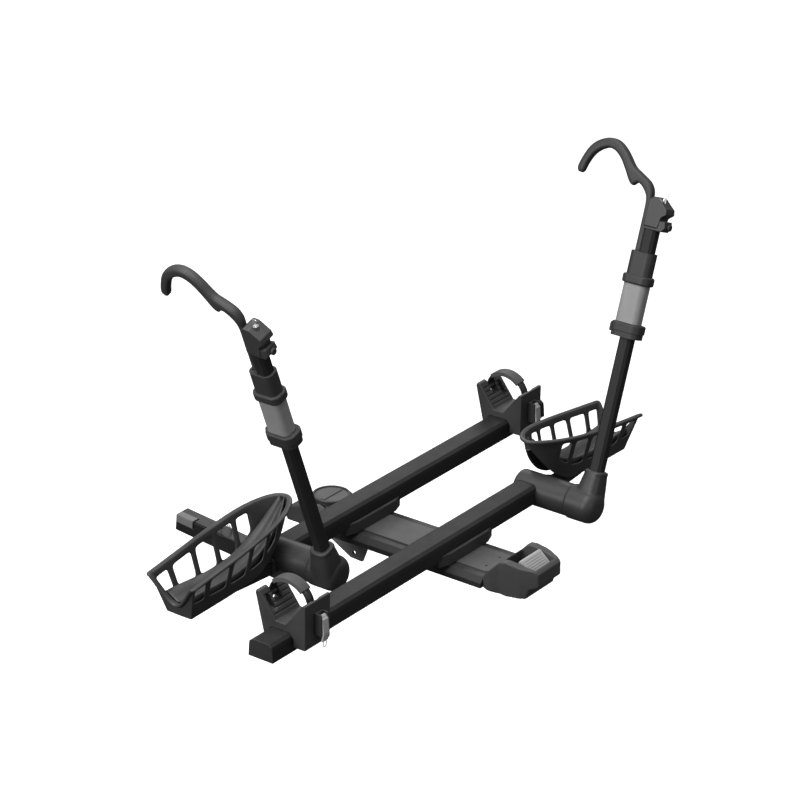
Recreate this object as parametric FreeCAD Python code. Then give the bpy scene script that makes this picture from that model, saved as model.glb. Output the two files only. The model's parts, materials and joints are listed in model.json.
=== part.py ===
"""Two-bike hitch rack with folding wheel-hook arms.

Lengths are in millimetres.  The row frame has its origin at the hitch pin hole, on the shank's axis:
+X across the vehicle, +Y forward into the receiver, +Z up.
The platform is drawn level, with its origin at the middle of the inner beam's underside, and then
placed with its small upward tilt.  The inner bike carrier is the one nearer the vehicle.  The outer
carrier is its mirror image across X, one beam spacing further back.
"""
import FreeCAD, Part
import math
import os
from FreeCAD import Vector

os.makedirs("parts", exist_ok=True)

# ---- driving dimensions -------------------------------------------------------------------
SHANK = 50.8             # square hitch shank, for a 2 inch receiver
SHANK_WALL = 6.0
PIN_HOLE_R = 8.2         # clearance hole for a 5/8 inch hitch pin
PIN_TO_END = 110.0       # from the pin hole to the end of the shank
PIN_TO_MAST = 290.0      # from the pin hole back to the foot of the mast
PLATFORM_BACK = 517.0    # from the pin hole back to the inner beam's middle
PLATFORM_UP = 279.0      # from the shank's axis up to the inner beam's underside
PLATFORM_TILT = 5.27     # degrees that the platform rises towards the rear

BEAM_SPACING = 305.0     # 12 inches between the two bikes
BEAM_W = 76.6
BEAM_H = 48.0
BEAM_CHAMFER = 9.0
BEAM_WALL = 3.0
BEAM_TIP = 800.0         # from the rack's middle to a beam's capped tip

ARM_X = 360.0            # from the rack's middle to an arm's hinge
HINGE_Z = 18.0
HOUSING_R = 45.0
HUB_R = 48.0
ARM_Y = -178.0           # an arm's plane, from its beam's middle
ARM_LEAN = 20.6          # degrees that a raised arm leans outboard
ARM_TUBE = 36.0
ARM_TUBE_CHAMFER = 7.0
ARM_TUBE_WALL = 2.5
ARM_LENGTH = 822.0       # from the beam's underside level to the top of the arm tube
HUB_HALF_Y = 51.0        # from the arm's plane to the hub's joint face
HUB_REAR = 36.0          # from the arm's plane to the hub's domed end
COLLAR_S = 113.0         # where the tube leaves its hub, along the arm

SLIDER_W = ARM_TUBE + 34.0     # the sliding grip across the hook's plane
SLIDER_D = ARM_TUBE + 10.0
SLIDER_LOW = 480.0       # the grip's lower end, along the arm
SLIDER_TOP = 711.0
SLIDER_Y = 8.0           # the grip's middle, off the tube's middle
NECK_W = 18.0            # the hook's flat neck
NECK_D = 16.0
HOOK_D = 20.0

TRAY_WALL = 5.0
CRADLE_X = 673.0         # from the rack's middle to a rear-wheel cradle
CRADLE_LENGTH = 98.0
CRADLE_HALF = 78.0
CRADLE_TOP = 134.0
CRADLE_V_LOW = 68.0
STRAP_W = 25.0
STRAP_T = 4.0

PIVOT_Y = 105.0          # the platform's tilt bolt
PIVOT_Z = -22.0
PIVOT_BOLT_R = 8.0
HEAD_HALF_X = 54.0
EAR_INNER = HEAD_HALF_X + 1.4
EAR_T = 8.0
EAR_R = 30.0
KNOB_R = 53.0
KNOB_Y = 108.0
KNOB_TOP = 19.0
KNOB_T = 14.0

SPINE_FRONT = 34.0
SPINE_REAR = -456.0
SPINE_HALF = 95.0
SPINE_TOP = -24.0
SPINE_LOW = -52.0
SPINE_WALL = 5.0
PLATE_HALF = 57.0
PLATE_T = 4.0
SADDLE_LENGTH = 236.0
SADDLE_SETBACK = 3.0     # how far its front stops short of the beam's, clear of the knob

HANDLE_REAR = -607.0
HANDLE_HALF = 74.0
LEVER_PIVOT_Y = -552.0
LEVER_PIVOT_Z = -24.0
LEVER_PIN_R = 4.0
ROD_R = 3.0

RUN = 0.05               # radial clearance of a turning pin
GAP = 0.4                # clearance between bodies that slide or fold past each other
SEAT = 0.2               # clearance of a fixed seat

# the shank's wedge
WEDGE_LENGTH = 60.0
WEDGE_TRAVEL = 6.0
WEDGE_INNER = -2.0       # how far the wedge reaches across the tube from its corner
WEDGE_PLATE = 5.0
GROOVE_D = 3.5
GROOVE_LENGTH = 105.0

# the mast and the cover on its head
MAST_HALF_X = 28.0
MAST_DEPTH = 62.0
MAST_FOOT = 96.0         # how far the mast's foot reaches along the shank
SLEEVE_T = 6.0
MAST_WALL = 5.0
MAST_HEAD_R = 26.0
COVER_TOP = -8.0
COVER_NOSE_Y = 236.0
COVER_HALF = 50.0
KNOB_STUD_R = 9.0

# the safety cable loop
LOOP_R = 17.0
LOOP_WIRE = 3.0
LOOP_Y = -52.0

# the saddle screws
SADDLE_BOLT_X = 38.0
SADDLE_BOLT_Y = 22.0
SCREW_R = 4.0
SCREW_NUT_R = 7.0
SCREW_NUT = 5.0

# the tilt ears, with their lock pin hole
EAR_REACH = -62.0
EAR_CORNER_Y = -45.0
EAR_CORNER_Z = -115.0
LOCK_HOLE_Y = -18.0
LOCK_HOLE_Z = -96.0
LOCK_HOLE_R = 6.0

# the hand grip, its lever and its foot
WELL_FRONT = -486.0
WELL_REAR = -592.0
WELL_HALF = 52.0
LEVER_HALF = 44.0
LEVER_PIN_HALF = 60.0
ROD_Z = -36.0
ROD_FRONT = -8.0
ROD_REAR = -532.0
LATCH_R = 6.0
FOOT_Y = -474.0
FOOT_Z = -71.0
FOOT_R = 11.0

# the beam's root and its arm housing
BEAM_ROOT = -345.0
CAP_T = 3.0
HOUSING_FRONT = 42.0
HOUSING_REAR = ARM_Y + HUB_HALF_Y + GAP
HINGE_PIN_R = 12.0

# the wheel tray
# Each row: x, lean of the section, underside z, half width there, rim z, half width there,
# inner floor z at its edge, inner floor z at its middle.
TRAY_SECTIONS = [
    (-750.0, 26.0, 0.0, 40.0, 108.0, 72.0, 46.0, 30.0),
    (-600.0, 0.0, 4.0, 40.0, 132.0, 74.0, 40.0, 22.0),
    (-490.0, 0.0, 12.0, 38.0, 148.0, 70.0, 50.0, 30.0),
    (-430.0, 0.0, 38.0, 33.0, 158.0, 62.0, 82.0, 62.0),
    (-378.0, 0.0, 84.0, 26.0, 166.0, 47.0, 124.0, 106.0),
    (-342.0, 0.0, 128.0, 14.0, 171.0, 27.0, 152.0, 142.0),
    (-328.0, 0.0, 148.0, 7.0, 172.0, 12.0, 163.0, 160.0),
]
FLOOR_T = 5.0
TRAY_WINDOWS = [(-741.0, -706.0), (-687.0, -627.0), (-608.0, -548.0), (-528.0, -474.0),
                (-456.0, -420.0)]
WINDOW_TOP = 17.0        # the rim left above a window
WINDOW_LOW = 5.0         # the wall left above the floor's edge
SUPPORT_TIP = -560.0
SUPPORT_HALF = 24.0

# the arm tube and its lock head
TUBE_FOOT = 48.0
HEAD_SEAT = 48.0         # how far the lock head reaches down over the tube
HEAD_LOW = ARM_LENGTH - HEAD_SEAT
LOCK_R = 8.0
LOCK_Y = -16.0
LOCK_BASE = HEAD_LOW + 62.0
LOCK_TOP = HEAD_LOW + 86.0
PLUG_Z = HEAD_LOW + 15.0

# the sliding grip, along the arm
BAND_LOW = 519.0
BAND_TOP = 624.0
BAND_T = 2.5
RIDGE_LOW = 624.0
RIDGE_TOP = 648.0
COLLAR_TOP = 518.0
NECK_INNER = ARM_TUBE / 2 + 0.9
NECK_FOOT = 668.0
NECK_TOP = ARM_LENGTH + 34.0
BUTTON_HALF = 9.0
BUTTON_INNER = ARM_TUBE / 2 + 16.0
BUTTON_TRAVEL = 6.0
BUTTON_LOW = 487.0
BUTTON_TOP = 512.0

# the hook's outline: outboard from its neck's inner face, and up from the arm tube's top
HOOK_OUTER = [(0.1, 28.0), (3.1, 52.0), (17.1, 72.0), (50.1, 91.0), (77.1, 106.0),
              (109.1, 142.0), (139.1, 160.0), (173.1, 163.0), (209.1, 144.0),
              (234.1, 110.0), (249.1, 62.0)]
HOOK_INNER = [(224.1, 66.0), (212.1, 100.0), (193.1, 122.0), (171.1, 135.0),
              (147.1, 133.0), (121.1, 118.0), (99.1, 92.0), (79.1, 62.0), (69.1, 56.0),
              (57.1, 66.0), (37.1, 58.0), (22.1, 40.0), (18.1, 22.0)]

# the cradle's strap, buckle and lever
SLOT_HALF = 14.0
BUCKLE_HALF = 15.0
BUCKLE_LOW = 46.0
BUCKLE_TOP = 104.0
BUCKLE_OUT = -CRADLE_HALF - 22.0
STRAP_HINGE_Y = 64.0
STRAP_HINGE_Z = 112.0
STRAP_PIN_R = 3.0
STRAP_PATH = [Vector(0, 64.0, 119.0), Vector(0, 61.0, 136.0), Vector(0, 50.0, 152.0),
              Vector(0, 30.0, 163.0), Vector(0, 6.0, 167.0), Vector(0, -18.0, 162.0),
              Vector(0, -40.0, 148.0), Vector(0, -54.0, 126.0), Vector(0, -58.0, 100.0)]
SLEEVE_FIRST = 2
SLEEVE_LAST = 6
SLEEVE_GAP = 0.3
LEVER_AXLE_Y = -CRADLE_HALF - 13.0
LEVER_AXLE_Z = 92.0

X_AXIS = Vector(1, 0, 0)
Y_AXIS = Vector(0, 1, 0)
Z_AXIS = Vector(0, 0, 1)
ORIGIN = Vector(0, 0, 0)


# ---- small helpers ------------------------------------------------------------------------

def box(x0, x1, y0, y1, z0, z1):
    """A box between two corners."""
    return Part.makeBox(x1 - x0, y1 - y0, z1 - z0, Vector(x0, y0, z0))


def rod(radius, start, end):
    """A round bar from one point to another."""
    along = end - start
    return Part.makeCylinder(radius, along.Length, start, along)


def fused(shapes):
    """One solid from several that overlap."""
    return shapes[0].multiFuse(shapes[1:]).removeSplitter()


def prism(points, depth):
    """A polygon's points, swept by a vector."""
    return Part.Face(Part.makePolygon(points + [points[0]])).extrude(depth)


def loft(sections):
    """A solid through several closed polygons with the same number of points."""
    wires = [Part.makePolygon(points + [points[0]]) for points in sections]
    return Part.makeLoft(wires, True, True)


def edges_along(shape, axis):
    """The straight edges that run along one axis."""
    found = []
    for edge in shape.Edges:
        if edge.Curve.TypeId == "Part::GeomLine":
            if abs(abs(edge.tangentAt(edge.FirstParameter).dot(axis)) - 1.0) < 1e-6:
                found.append(edge)
    return found


def rounded_bar(width_x, width_y, corner, z0, z1, y_middle=0.0):
    """An upright bar with rounded corners."""
    bar = box(-width_x / 2, width_x / 2, y_middle - width_y / 2, y_middle + width_y / 2, z0, z1)
    return bar.makeFillet(corner, edges_along(bar, Z_AXIS))


def chamfered_bar(width, corner, z0, z1):
    """An upright square bar with flat-cut corners."""
    bar = box(-width / 2, width / 2, -width / 2, width / 2, z0, z1)
    return bar.makeChamfer(corner, edges_along(bar, Z_AXIS))


def ribbon(points, thickness, x0, x1):
    """A band of even thickness that follows points in the YZ plane."""
    upper = []
    lower = []
    for index, point in enumerate(points):
        before = points[max(index - 1, 0)]
        after = points[min(index + 1, len(points) - 1)]
        along = (after - before).normalize()
        normal = Vector(0, -along.z, along.y)
        upper.append(point + normal * (thickness / 2))
        lower.append(point - normal * (thickness / 2))
    outer = Part.BSplineCurve()
    outer.interpolate(upper)
    inner = Part.BSplineCurve()
    inner.interpolate(lower)
    ends = [Part.makeLine(upper[-1], lower[-1]), Part.makeLine(lower[0], upper[0])]
    wire = Part.Wire(Part.__sortEdges__([outer.toShape(), inner.toShape()] + ends))
    band = Part.Face(wire).extrude(Vector(x1 - x0, 0, 0))
    band.translate(Vector(x0, 0, 0))
    return band


# ---- placing ------------------------------------------------------------------------------

def place_platform(shape):
    """Moves a piece from the platform's own frame to the row frame."""
    moved = shape.copy()
    moved.rotate(ORIGIN, X_AXIS, -PLATFORM_TILT)
    moved.translate(Vector(0, -PLATFORM_BACK, PLATFORM_UP))
    return moved


def place_arm(shape):
    """Leans an upright arm piece outboard at the inner carrier's hinge."""
    moved = shape.copy()
    moved.rotate(ORIGIN, Y_AXIS, -ARM_LEAN)
    moved.translate(Vector(-ARM_X, ARM_Y, 0))
    return moved


def save(name, shape):
    """Writes one piece and refuses a broken one."""
    if not shape.isValid() or shape.Volume <= 0:
        raise ValueError("broken solid: " + name)
    solids = shape.Solids
    whole = solids[0] if len(solids) == 1 else Part.makeCompound(solids)
    whole.exportStep("parts/" + name + ".step")


def save_platform(name, shape):
    """Writes a piece drawn on the level platform."""
    save(name, place_platform(shape))


def save_pair(name, shape):
    """Writes the inner carrier's piece and its mirror image on the outer carrier."""
    save_platform("inner_" + name, shape)
    mirrored = shape.mirror(ORIGIN, X_AXIS)
    mirrored.translate(Vector(0, -BEAM_SPACING, 0))
    save_platform("outer_" + name, mirrored)


# ---- hitch side ---------------------------------------------------------------------------

def hitch_shank():
    """A square tube with a pin hole and a notched upper corner for the wedge."""
    half = SHANK / 2
    bore = half - SHANK_WALL
    tube = box(-half, half, -PIN_TO_MAST, PIN_TO_END, -half, half)
    tube = tube.makeFillet(3.0, edges_along(tube, Y_AXIS))
    tube = tube.cut(box(-bore, bore, -PIN_TO_MAST - 1, PIN_TO_END + 1, -bore, bore))
    tube = tube.cut(rod(PIN_HOLE_R, Vector(-half - 1, 0, 0), Vector(half + 1, 0, 0)))
    notch_y = PIN_TO_END - WEDGE_LENGTH - WEDGE_TRAVEL - GAP
    notch = box(-half - 1, WEDGE_INNER + GAP, notch_y, PIN_TO_END + 1, -WEDGE_INNER - GAP, half + 1)
    tube = tube.cut(notch)
    groove_low = half - GROOVE_D
    groove = box(-half - 1, -half + GROOVE_D, notch_y - GROOVE_LENGTH, notch_y + 1, groove_low, half + 1)
    return tube.cut(groove)


def shank_wedge():
    """The angle-shaped wedge that the tension knob pulls against the receiver's corner."""
    half = SHANK / 2
    start = PIN_TO_END - WEDGE_LENGTH
    corner = box(-half, WEDGE_INNER, start, PIN_TO_END, -WEDGE_INNER, half)
    hollow = box(-half + WEDGE_PLATE, WEDGE_INNER + 1, start - 1, PIN_TO_END + 1,
                 -WEDGE_INNER - 1, half - WEDGE_PLATE)
    corner = corner.cut(hollow)
    groove = box(-half - 1, -half + GROOVE_D / 2, start - 1, PIN_TO_END + 1, half - GROOVE_D / 2, half + 1)
    return corner.cut(groove)


def platform_point(y, z):
    """A point on the platform's middle plane, in the row frame."""
    tilt = math.radians(-PLATFORM_TILT)
    return Vector(0, y * math.cos(tilt) - z * math.sin(tilt) - PLATFORM_BACK,
                  y * math.sin(tilt) + z * math.cos(tilt) + PLATFORM_UP)


def mast():
    """The welded upright: a sleeve round the shank's rear end, a sloping box and a round head."""
    half = SHANK / 2
    sleeve_half = half + SLEEVE_T
    foot_y = -PIN_TO_MAST - 10.0
    sleeve = box(-sleeve_half, sleeve_half, foot_y, foot_y + MAST_FOOT, -sleeve_half, sleeve_half)
    sleeve = sleeve.makeFillet(4.0, edges_along(sleeve, Y_AXIS))
    head = platform_point(PIVOT_Y, PIVOT_Z)
    head_low = head - Vector(0, 0, 30.0)
    slope = [
        Vector(-MAST_HALF_X, foot_y + 4.0, half),
        Vector(-MAST_HALF_X, foot_y + MAST_FOOT - 4.0, half),
        Vector(-MAST_HALF_X, head_low.y + MAST_DEPTH / 2, head_low.z),
        Vector(-MAST_HALF_X, head_low.y - MAST_DEPTH / 2, head_low.z),
    ]
    box_section = prism(slope, Vector(2 * MAST_HALF_X, 0, 0))
    hollow = [
        Vector(-MAST_HALF_X + MAST_WALL, foot_y + 4.0 + MAST_WALL, half),
        Vector(-MAST_HALF_X + MAST_WALL, foot_y + MAST_FOOT - 4.0 - MAST_WALL, half),
        Vector(-MAST_HALF_X + MAST_WALL, head_low.y + MAST_DEPTH / 2 - MAST_WALL, head_low.z - 6.0),
        Vector(-MAST_HALF_X + MAST_WALL, head_low.y - MAST_DEPTH / 2 + MAST_WALL, head_low.z - 6.0),
    ]
    hollow = prism(hollow, Vector(2 * (MAST_HALF_X - MAST_WALL), 0, 0))
    barrel = rod(MAST_HEAD_R, head - Vector(HEAD_HALF_X, 0, 0), head + Vector(HEAD_HALF_X, 0, 0))
    frame = fused([sleeve, box_section, barrel]).cut(hollow)
    seat = half + SEAT
    frame = frame.cut(box(-seat, seat, -PIN_TO_MAST, foot_y + MAST_FOOT + 1, -seat, seat))
    bolt_gap = PIVOT_BOLT_R + SEAT
    bore = rod(bolt_gap, head - Vector(HEAD_HALF_X + 1, 0, 0), head + Vector(HEAD_HALF_X + 1, 0, 0))
    cover_room = place_platform(hub_cover_outline(SEAT))
    return frame.cut(bore).cut(cover_room)


def hub_cover_outline(extra):
    """The moulded cover over the mast's head, as its outer block."""
    profile = [
        Vector(-COVER_HALF - extra, KNOB_Y - 44.0 - extra, COVER_TOP - 22.0 - extra),
        Vector(-COVER_HALF - extra, KNOB_Y - 44.0 - extra, COVER_TOP - 8.0),
        Vector(-COVER_HALF - extra, KNOB_Y - 36.0, KNOB_TOP - KNOB_T - GAP),
        Vector(-COVER_HALF - extra, KNOB_Y + 36.0, KNOB_TOP - KNOB_T - GAP),
        Vector(-COVER_HALF - extra, KNOB_Y + 56.0, COVER_TOP - 6.0),
        Vector(-COVER_HALF - extra, COVER_NOSE_Y - 20.0, COVER_TOP - 22.0),
        Vector(-COVER_HALF - extra, COVER_NOSE_Y + extra, COVER_TOP - 44.0),
        Vector(-COVER_HALF - extra, COVER_NOSE_Y - 12.0, COVER_TOP - 66.0 - extra),
        Vector(-COVER_HALF - extra, KNOB_Y + 44.0, COVER_TOP - 66.0 - extra),
        Vector(-COVER_HALF - extra, KNOB_Y + 30.0, COVER_TOP - 22.0 - extra),
    ]
    return prism(profile, Vector(2 * (COVER_HALF + extra), 0, 0))


def hub_cover():
    """The moulded cover over the mast's head, with a well for the knob's stud."""
    block = hub_cover_outline(0.0)
    block = block.makeFillet(5.0, [edge for edge in block.Edges if edge.BoundBox.ZMax > COVER_TOP - 60.0
                                   and edge.BoundBox.YMin > KNOB_Y + 50.0
                                   and edge.BoundBox.XLength < 0.01])
    well = rod(KNOB_STUD_R + GAP, Vector(0, KNOB_Y, COVER_TOP - 18.0), Vector(0, KNOB_Y, KNOB_TOP))
    clear = rod(MAST_HEAD_R + SEAT, Vector(-HEAD_HALF_X - 1, PIVOT_Y, PIVOT_Z),
                Vector(HEAD_HALF_X + 1, PIVOT_Y, PIVOT_Z))
    block = block.cut(clear)
    return block.cut(well)


def tension_knob():
    """A round knob with a raised rim, a recessed face and shallow finger flutes."""
    low = KNOB_TOP - KNOB_T
    disc = Part.makeCylinder(KNOB_R, KNOB_T, Vector(0, KNOB_Y, low))
    disc = disc.makeFillet(3.0, [edge for edge in disc.Edges if edge.BoundBox.ZMin > KNOB_TOP - 0.1])
    disc = disc.cut(Part.makeCylinder(KNOB_R - 7.0, 6.0, Vector(0, KNOB_Y, KNOB_TOP - 5.0)))
    ring = Part.makeCylinder(KNOB_R + 1.0, 1.6, Vector(0, KNOB_Y, low + 4.0))
    ring = ring.cut(Part.makeCylinder(KNOB_R - 1.6, 1.6, Vector(0, KNOB_Y, low + 4.0)))
    return disc.cut(ring)


def knob_plate():
    """The pale plate let into the knob's face, with a raised grip bar across it."""
    face_z = KNOB_TOP - 5.0
    plate = Part.makeCylinder(KNOB_R - 7.0 - SEAT, 2.0, Vector(0, KNOB_Y, face_z))
    bar = box(-KNOB_R + 14.0, KNOB_R - 14.0, KNOB_Y - 7.0, KNOB_Y + 7.0, face_z, KNOB_TOP - 0.5)
    bar = bar.makeFillet(3.0, edges_along(bar, Z_AXIS))
    return fused([plate, bar])


def pivot_bolt():
    """The tilt bolt with a head and a nut outside the two ears."""
    reach = EAR_INNER + EAR_T
    middle = Vector(0, PIVOT_Y, PIVOT_Z)
    shaft = rod(PIVOT_BOLT_R, middle - Vector(reach + 2, 0, 0), middle + Vector(reach + 2, 0, 0))
    head = rod(14.0, middle + Vector(reach + GAP, 0, 0), middle + Vector(reach + 9, 0, 0))
    nut = rod(13.0, middle - Vector(reach + 9, 0, 0), middle - Vector(reach + GAP, 0, 0))
    return fused([shaft, head, nut])


def safety_loop():
    """A bent wire eye that stands on the shank for a safety strap."""
    base_z = SHANK / 2
    leg = 6.0
    left = Vector(0, LOOP_Y - LOOP_R, base_z)
    right = Vector(0, LOOP_Y + LOOP_R, base_z)
    rise = Vector(0, 0, leg)
    arc = Part.Arc(left + rise, Vector(0, LOOP_Y, base_z + leg + LOOP_R), right + rise)
    path = Part.Wire([Part.makeLine(left, left + rise), arc.toShape(), Part.makeLine(right + rise, right)])
    section = Part.Wire([Part.makeCircle(LOOP_WIRE, left, Z_AXIS)])
    return path.makePipeShell([section], True, True)


# ---- platform -----------------------------------------------------------------------------

def spine():
    """The channel that carries both beams, with a box section open underneath."""
    half = SPINE_HALF
    outline = [
        Vector(-half, SPINE_FRONT, SPINE_LOW),
        Vector(-half, SPINE_FRONT, SPINE_TOP - 14.0),
        Vector(-half + 14.0, SPINE_FRONT, SPINE_TOP),
        Vector(half - 14.0, SPINE_FRONT, SPINE_TOP),
        Vector(half, SPINE_FRONT, SPINE_TOP - 14.0),
        Vector(half, SPINE_FRONT, SPINE_LOW),
    ]
    channel = prism(outline, Vector(0, SPINE_REAR - SPINE_FRONT, 0))
    wall = SPINE_WALL
    shoulder = SPINE_TOP - 14.0 - wall / 2
    wide = box(-half + wall, half - wall, SPINE_REAR + wall, SPINE_FRONT + 1, SPINE_LOW - 1, shoulder)
    deep_half = half - 14.0 - wall / 2
    deep = box(-deep_half, deep_half, SPINE_REAR + wall, SPINE_FRONT + 1, SPINE_LOW - 1, SPINE_TOP - wall)
    channel = channel.cut(wide).cut(deep)
    rod_way = rod(ROD_R + GAP, Vector(0, SPINE_REAR - 1, ROD_Z), Vector(0, SPINE_REAR + wall + 1, ROD_Z))
    return channel.cut(rod_way).cut(screw_holes())


def spine_plate():
    """The pale top plate, which runs on under both saddles to the handle."""
    front = SPINE_FRONT - 8.0
    plate = box(-PLATE_HALF, PLATE_HALF, SPINE_REAR + 4.0, front, SPINE_TOP, SPINE_TOP + PLATE_T)
    plate = plate.makeFillet(12.0, edges_along(plate, Z_AXIS))
    for x in (-30.0, 30.0):
        plate = plate.cut(Part.makeCylinder(3.2, PLATE_T + 2, Vector(x, SPINE_REAR + 27.0, SPINE_TOP - 1)))
    return plate.cut(screw_holes())


def saddle():
    """A cast seat between the spine and a beam, with a pointed lip behind the beam."""
    half_w = BEAM_W / 2 + 9.0
    front = BEAM_W / 2 - SADDLE_SETBACK
    long_half = SADDLE_LENGTH / 2
    low = SPINE_TOP + PLATE_T
    top = 12.0
    plan = [
        Vector(-long_half, -half_w + 12.0, low), Vector(-long_half + 22.0, front, low),
        Vector(long_half - 22.0, front, low), Vector(long_half, -half_w + 12.0, low),
        Vector(long_half - 34.0, -half_w, low), Vector(-long_half + 34.0, -half_w, low),
    ]
    block = prism(plan, Vector(0, 0, top - low))
    seat = BEAM_W / 2 + GAP
    block = block.cut(box(-long_half - 1, long_half + 1, -seat, front + 1, -GAP, top + 1))
    return block.cut(screw_holes())


def screw_row(radius, low, high):
    """Upright round bars at every saddle screw."""
    bars = []
    for beam_y in (0.0, -BEAM_SPACING):
        for x in (-SADDLE_BOLT_X, SADDLE_BOLT_X):
            for y in (-SADDLE_BOLT_Y, SADDLE_BOLT_Y):
                bars.append(rod(radius, Vector(x, beam_y + y, low), Vector(x, beam_y + y, high)))
    return Part.makeCompound(bars)


def screw_holes():
    """Clearance holes for the saddle screws."""
    return screw_row(SCREW_R + SEAT, SPINE_LOW, 1.0)


def platform_screws():
    """The screws that hold the saddles down through the plate and the spine, with their nuts."""
    under = SPINE_TOP - SPINE_WALL
    shafts = screw_row(SCREW_R, under - SCREW_NUT - 2.0, -GAP - 1.0)
    nuts = screw_row(SCREW_NUT_R, under - SCREW_NUT, under)
    screws = [shaft.fuse(nut) for shaft, nut in zip(shafts.Solids, nuts.Solids)]
    return Part.makeCompound(screws)


def tilt_ear(side):
    """One of the two cheek plates between the spine and the tilt bolt."""
    outline = [
        Vector(0, PIVOT_Y, PIVOT_Z + EAR_R), Vector(0, SPINE_FRONT + 12.0, SPINE_TOP - SPINE_WALL),
        Vector(0, EAR_REACH, SPINE_TOP - SPINE_WALL),
        Vector(0, EAR_REACH - 4.0, SPINE_LOW - 8.0), Vector(0, EAR_CORNER_Y, EAR_CORNER_Z),
        Vector(0, LOCK_HOLE_Y + 12.0, EAR_CORNER_Z + 2.0), Vector(0, PIVOT_Y, PIVOT_Z - EAR_R),
    ]
    plate = prism(outline, Vector(EAR_T, 0, 0))
    boss = rod(EAR_R, Vector(0, PIVOT_Y, PIVOT_Z), Vector(EAR_T, PIVOT_Y, PIVOT_Z))
    plate = fused([plate, boss])
    bore_start = Vector(-1, PIVOT_Y, PIVOT_Z)
    plate = plate.cut(rod(PIVOT_BOLT_R + RUN, bore_start, bore_start + Vector(EAR_T + 2, 0, 0)))
    hole_start = Vector(-1, LOCK_HOLE_Y, LOCK_HOLE_Z)
    plate = plate.cut(rod(LOCK_HOLE_R, hole_start, hole_start + Vector(EAR_T + 2, 0, 0)))
    plate.translate(Vector(EAR_INNER if side > 0 else -EAR_INNER - EAR_T, 0, 0))
    return plate


def handle_side_profile(x):
    """The handle's side outline, on the plane at x."""
    return [
        Vector(x, SPINE_REAR, SPINE_LOW), Vector(x, SPINE_REAR, SPINE_TOP + 4.0),
        Vector(x, -474.0, 2.0), Vector(x, -500.0, 30.0), Vector(x, -520.0, 33.0),
        Vector(x, -598.0, 22.0), Vector(x, HANDLE_REAR, 15.0), Vector(x, HANDLE_REAR, -22.0),
        Vector(x, HANDLE_REAR + 24.0, -32.0), Vector(x, HANDLE_REAR + 30.0, -58.0),
        Vector(x, -520.0, -64.0), Vector(x, -470.0, -58.0),
    ]


def handle_housing():
    """The moulded hand grip at the rear of the spine, with a well for the fingers."""
    body = prism(handle_side_profile(-HANDLE_HALF - 10.0), Vector(2 * HANDLE_HALF + 20.0, 0, 0))
    plan = [
        Vector(-SPINE_HALF, SPINE_REAR + 1, -80), Vector(-HANDLE_HALF, -500.0, -80),
        Vector(-HANDLE_HALF + 4.0, -560.0, -80), Vector(-50.0, HANDLE_REAR - 1, -80),
        Vector(50.0, HANDLE_REAR - 1, -80), Vector(HANDLE_HALF - 4.0, -560.0, -80),
        Vector(HANDLE_HALF, -500.0, -80), Vector(SPINE_HALF, SPINE_REAR + 1, -80),
    ]
    body = body.common(prism(plan, Vector(0, 0, 160)))
    well = [
        Vector(-WELL_HALF, WELL_FRONT, -42.0), Vector(WELL_HALF, WELL_FRONT, -42.0),
        Vector(WELL_HALF - 6.0, WELL_REAR, -42.0), Vector(-WELL_HALF + 6.0, WELL_REAR, -42.0),
    ]
    well_cut = prism(well, Vector(0, 0, 100.0))
    body = body.cut(well_cut)
    under = box(-WELL_HALF + 6.0, WELL_HALF - 6.0, HANDLE_REAR + 36.0, FOOT_Y - 14.0, -80, -47.0)
    body = body.cut(under)
    pin = rod(LEVER_PIN_R + SEAT, Vector(-LEVER_PIN_HALF, LEVER_PIVOT_Y, LEVER_PIVOT_Z),
              Vector(LEVER_PIN_HALF, LEVER_PIVOT_Y, LEVER_PIVOT_Z))
    body = body.cut(pin)
    channel = rod(ROD_R + GAP + 1.0, Vector(0, SPINE_REAR + 1, ROD_Z), Vector(0, WELL_FRONT - 1, ROD_Z))
    return body.cut(channel)


def lever_pin():
    """The pin that the release lever turns on."""
    return rod(LEVER_PIN_R, Vector(-LEVER_PIN_HALF, LEVER_PIVOT_Y, LEVER_PIVOT_Z),
               Vector(LEVER_PIN_HALF, LEVER_PIVOT_Y, LEVER_PIVOT_Z))


def release_lever():
    """The ribbed squeeze lever in the handle's well."""
    profile = [
        Vector(-LEVER_HALF, -546.0, -32.0), Vector(-LEVER_HALF, -543.0, -12.0),
        Vector(-LEVER_HALF, -538.0, 26.0), Vector(-LEVER_HALF, -542.0, 33.0),
        Vector(-LEVER_HALF, -548.0, 33.0), Vector(-LEVER_HALF, -580.0, 6.0),
        Vector(-LEVER_HALF, -578.0, 1.0), Vector(-LEVER_HALF, -572.0, 2.0),
        Vector(-LEVER_HALF, -552.0, 18.0), Vector(-LEVER_HALF, -560.0, -18.0),
        Vector(-LEVER_HALF, -560.0, -32.0),
    ]
    lever = prism(profile, Vector(2 * LEVER_HALF, 0, 0))
    slope = math.atan2(27.0, 32.0)
    for index in range(5):
        along = 7.0 + 7.0 * index
        y = -548.0 - along * math.cos(slope)
        z = 33.0 - along * math.sin(slope)
        lever = lever.cut(rod(1.3, Vector(-LEVER_HALF + 8, y, z), Vector(LEVER_HALF - 8, y, z)))
    bore = rod(LEVER_PIN_R + RUN, Vector(-LEVER_HALF - 1, LEVER_PIVOT_Y, LEVER_PIVOT_Z),
               Vector(LEVER_HALF + 1, LEVER_PIVOT_Y, LEVER_PIVOT_Z))
    return lever.cut(bore)


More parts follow.
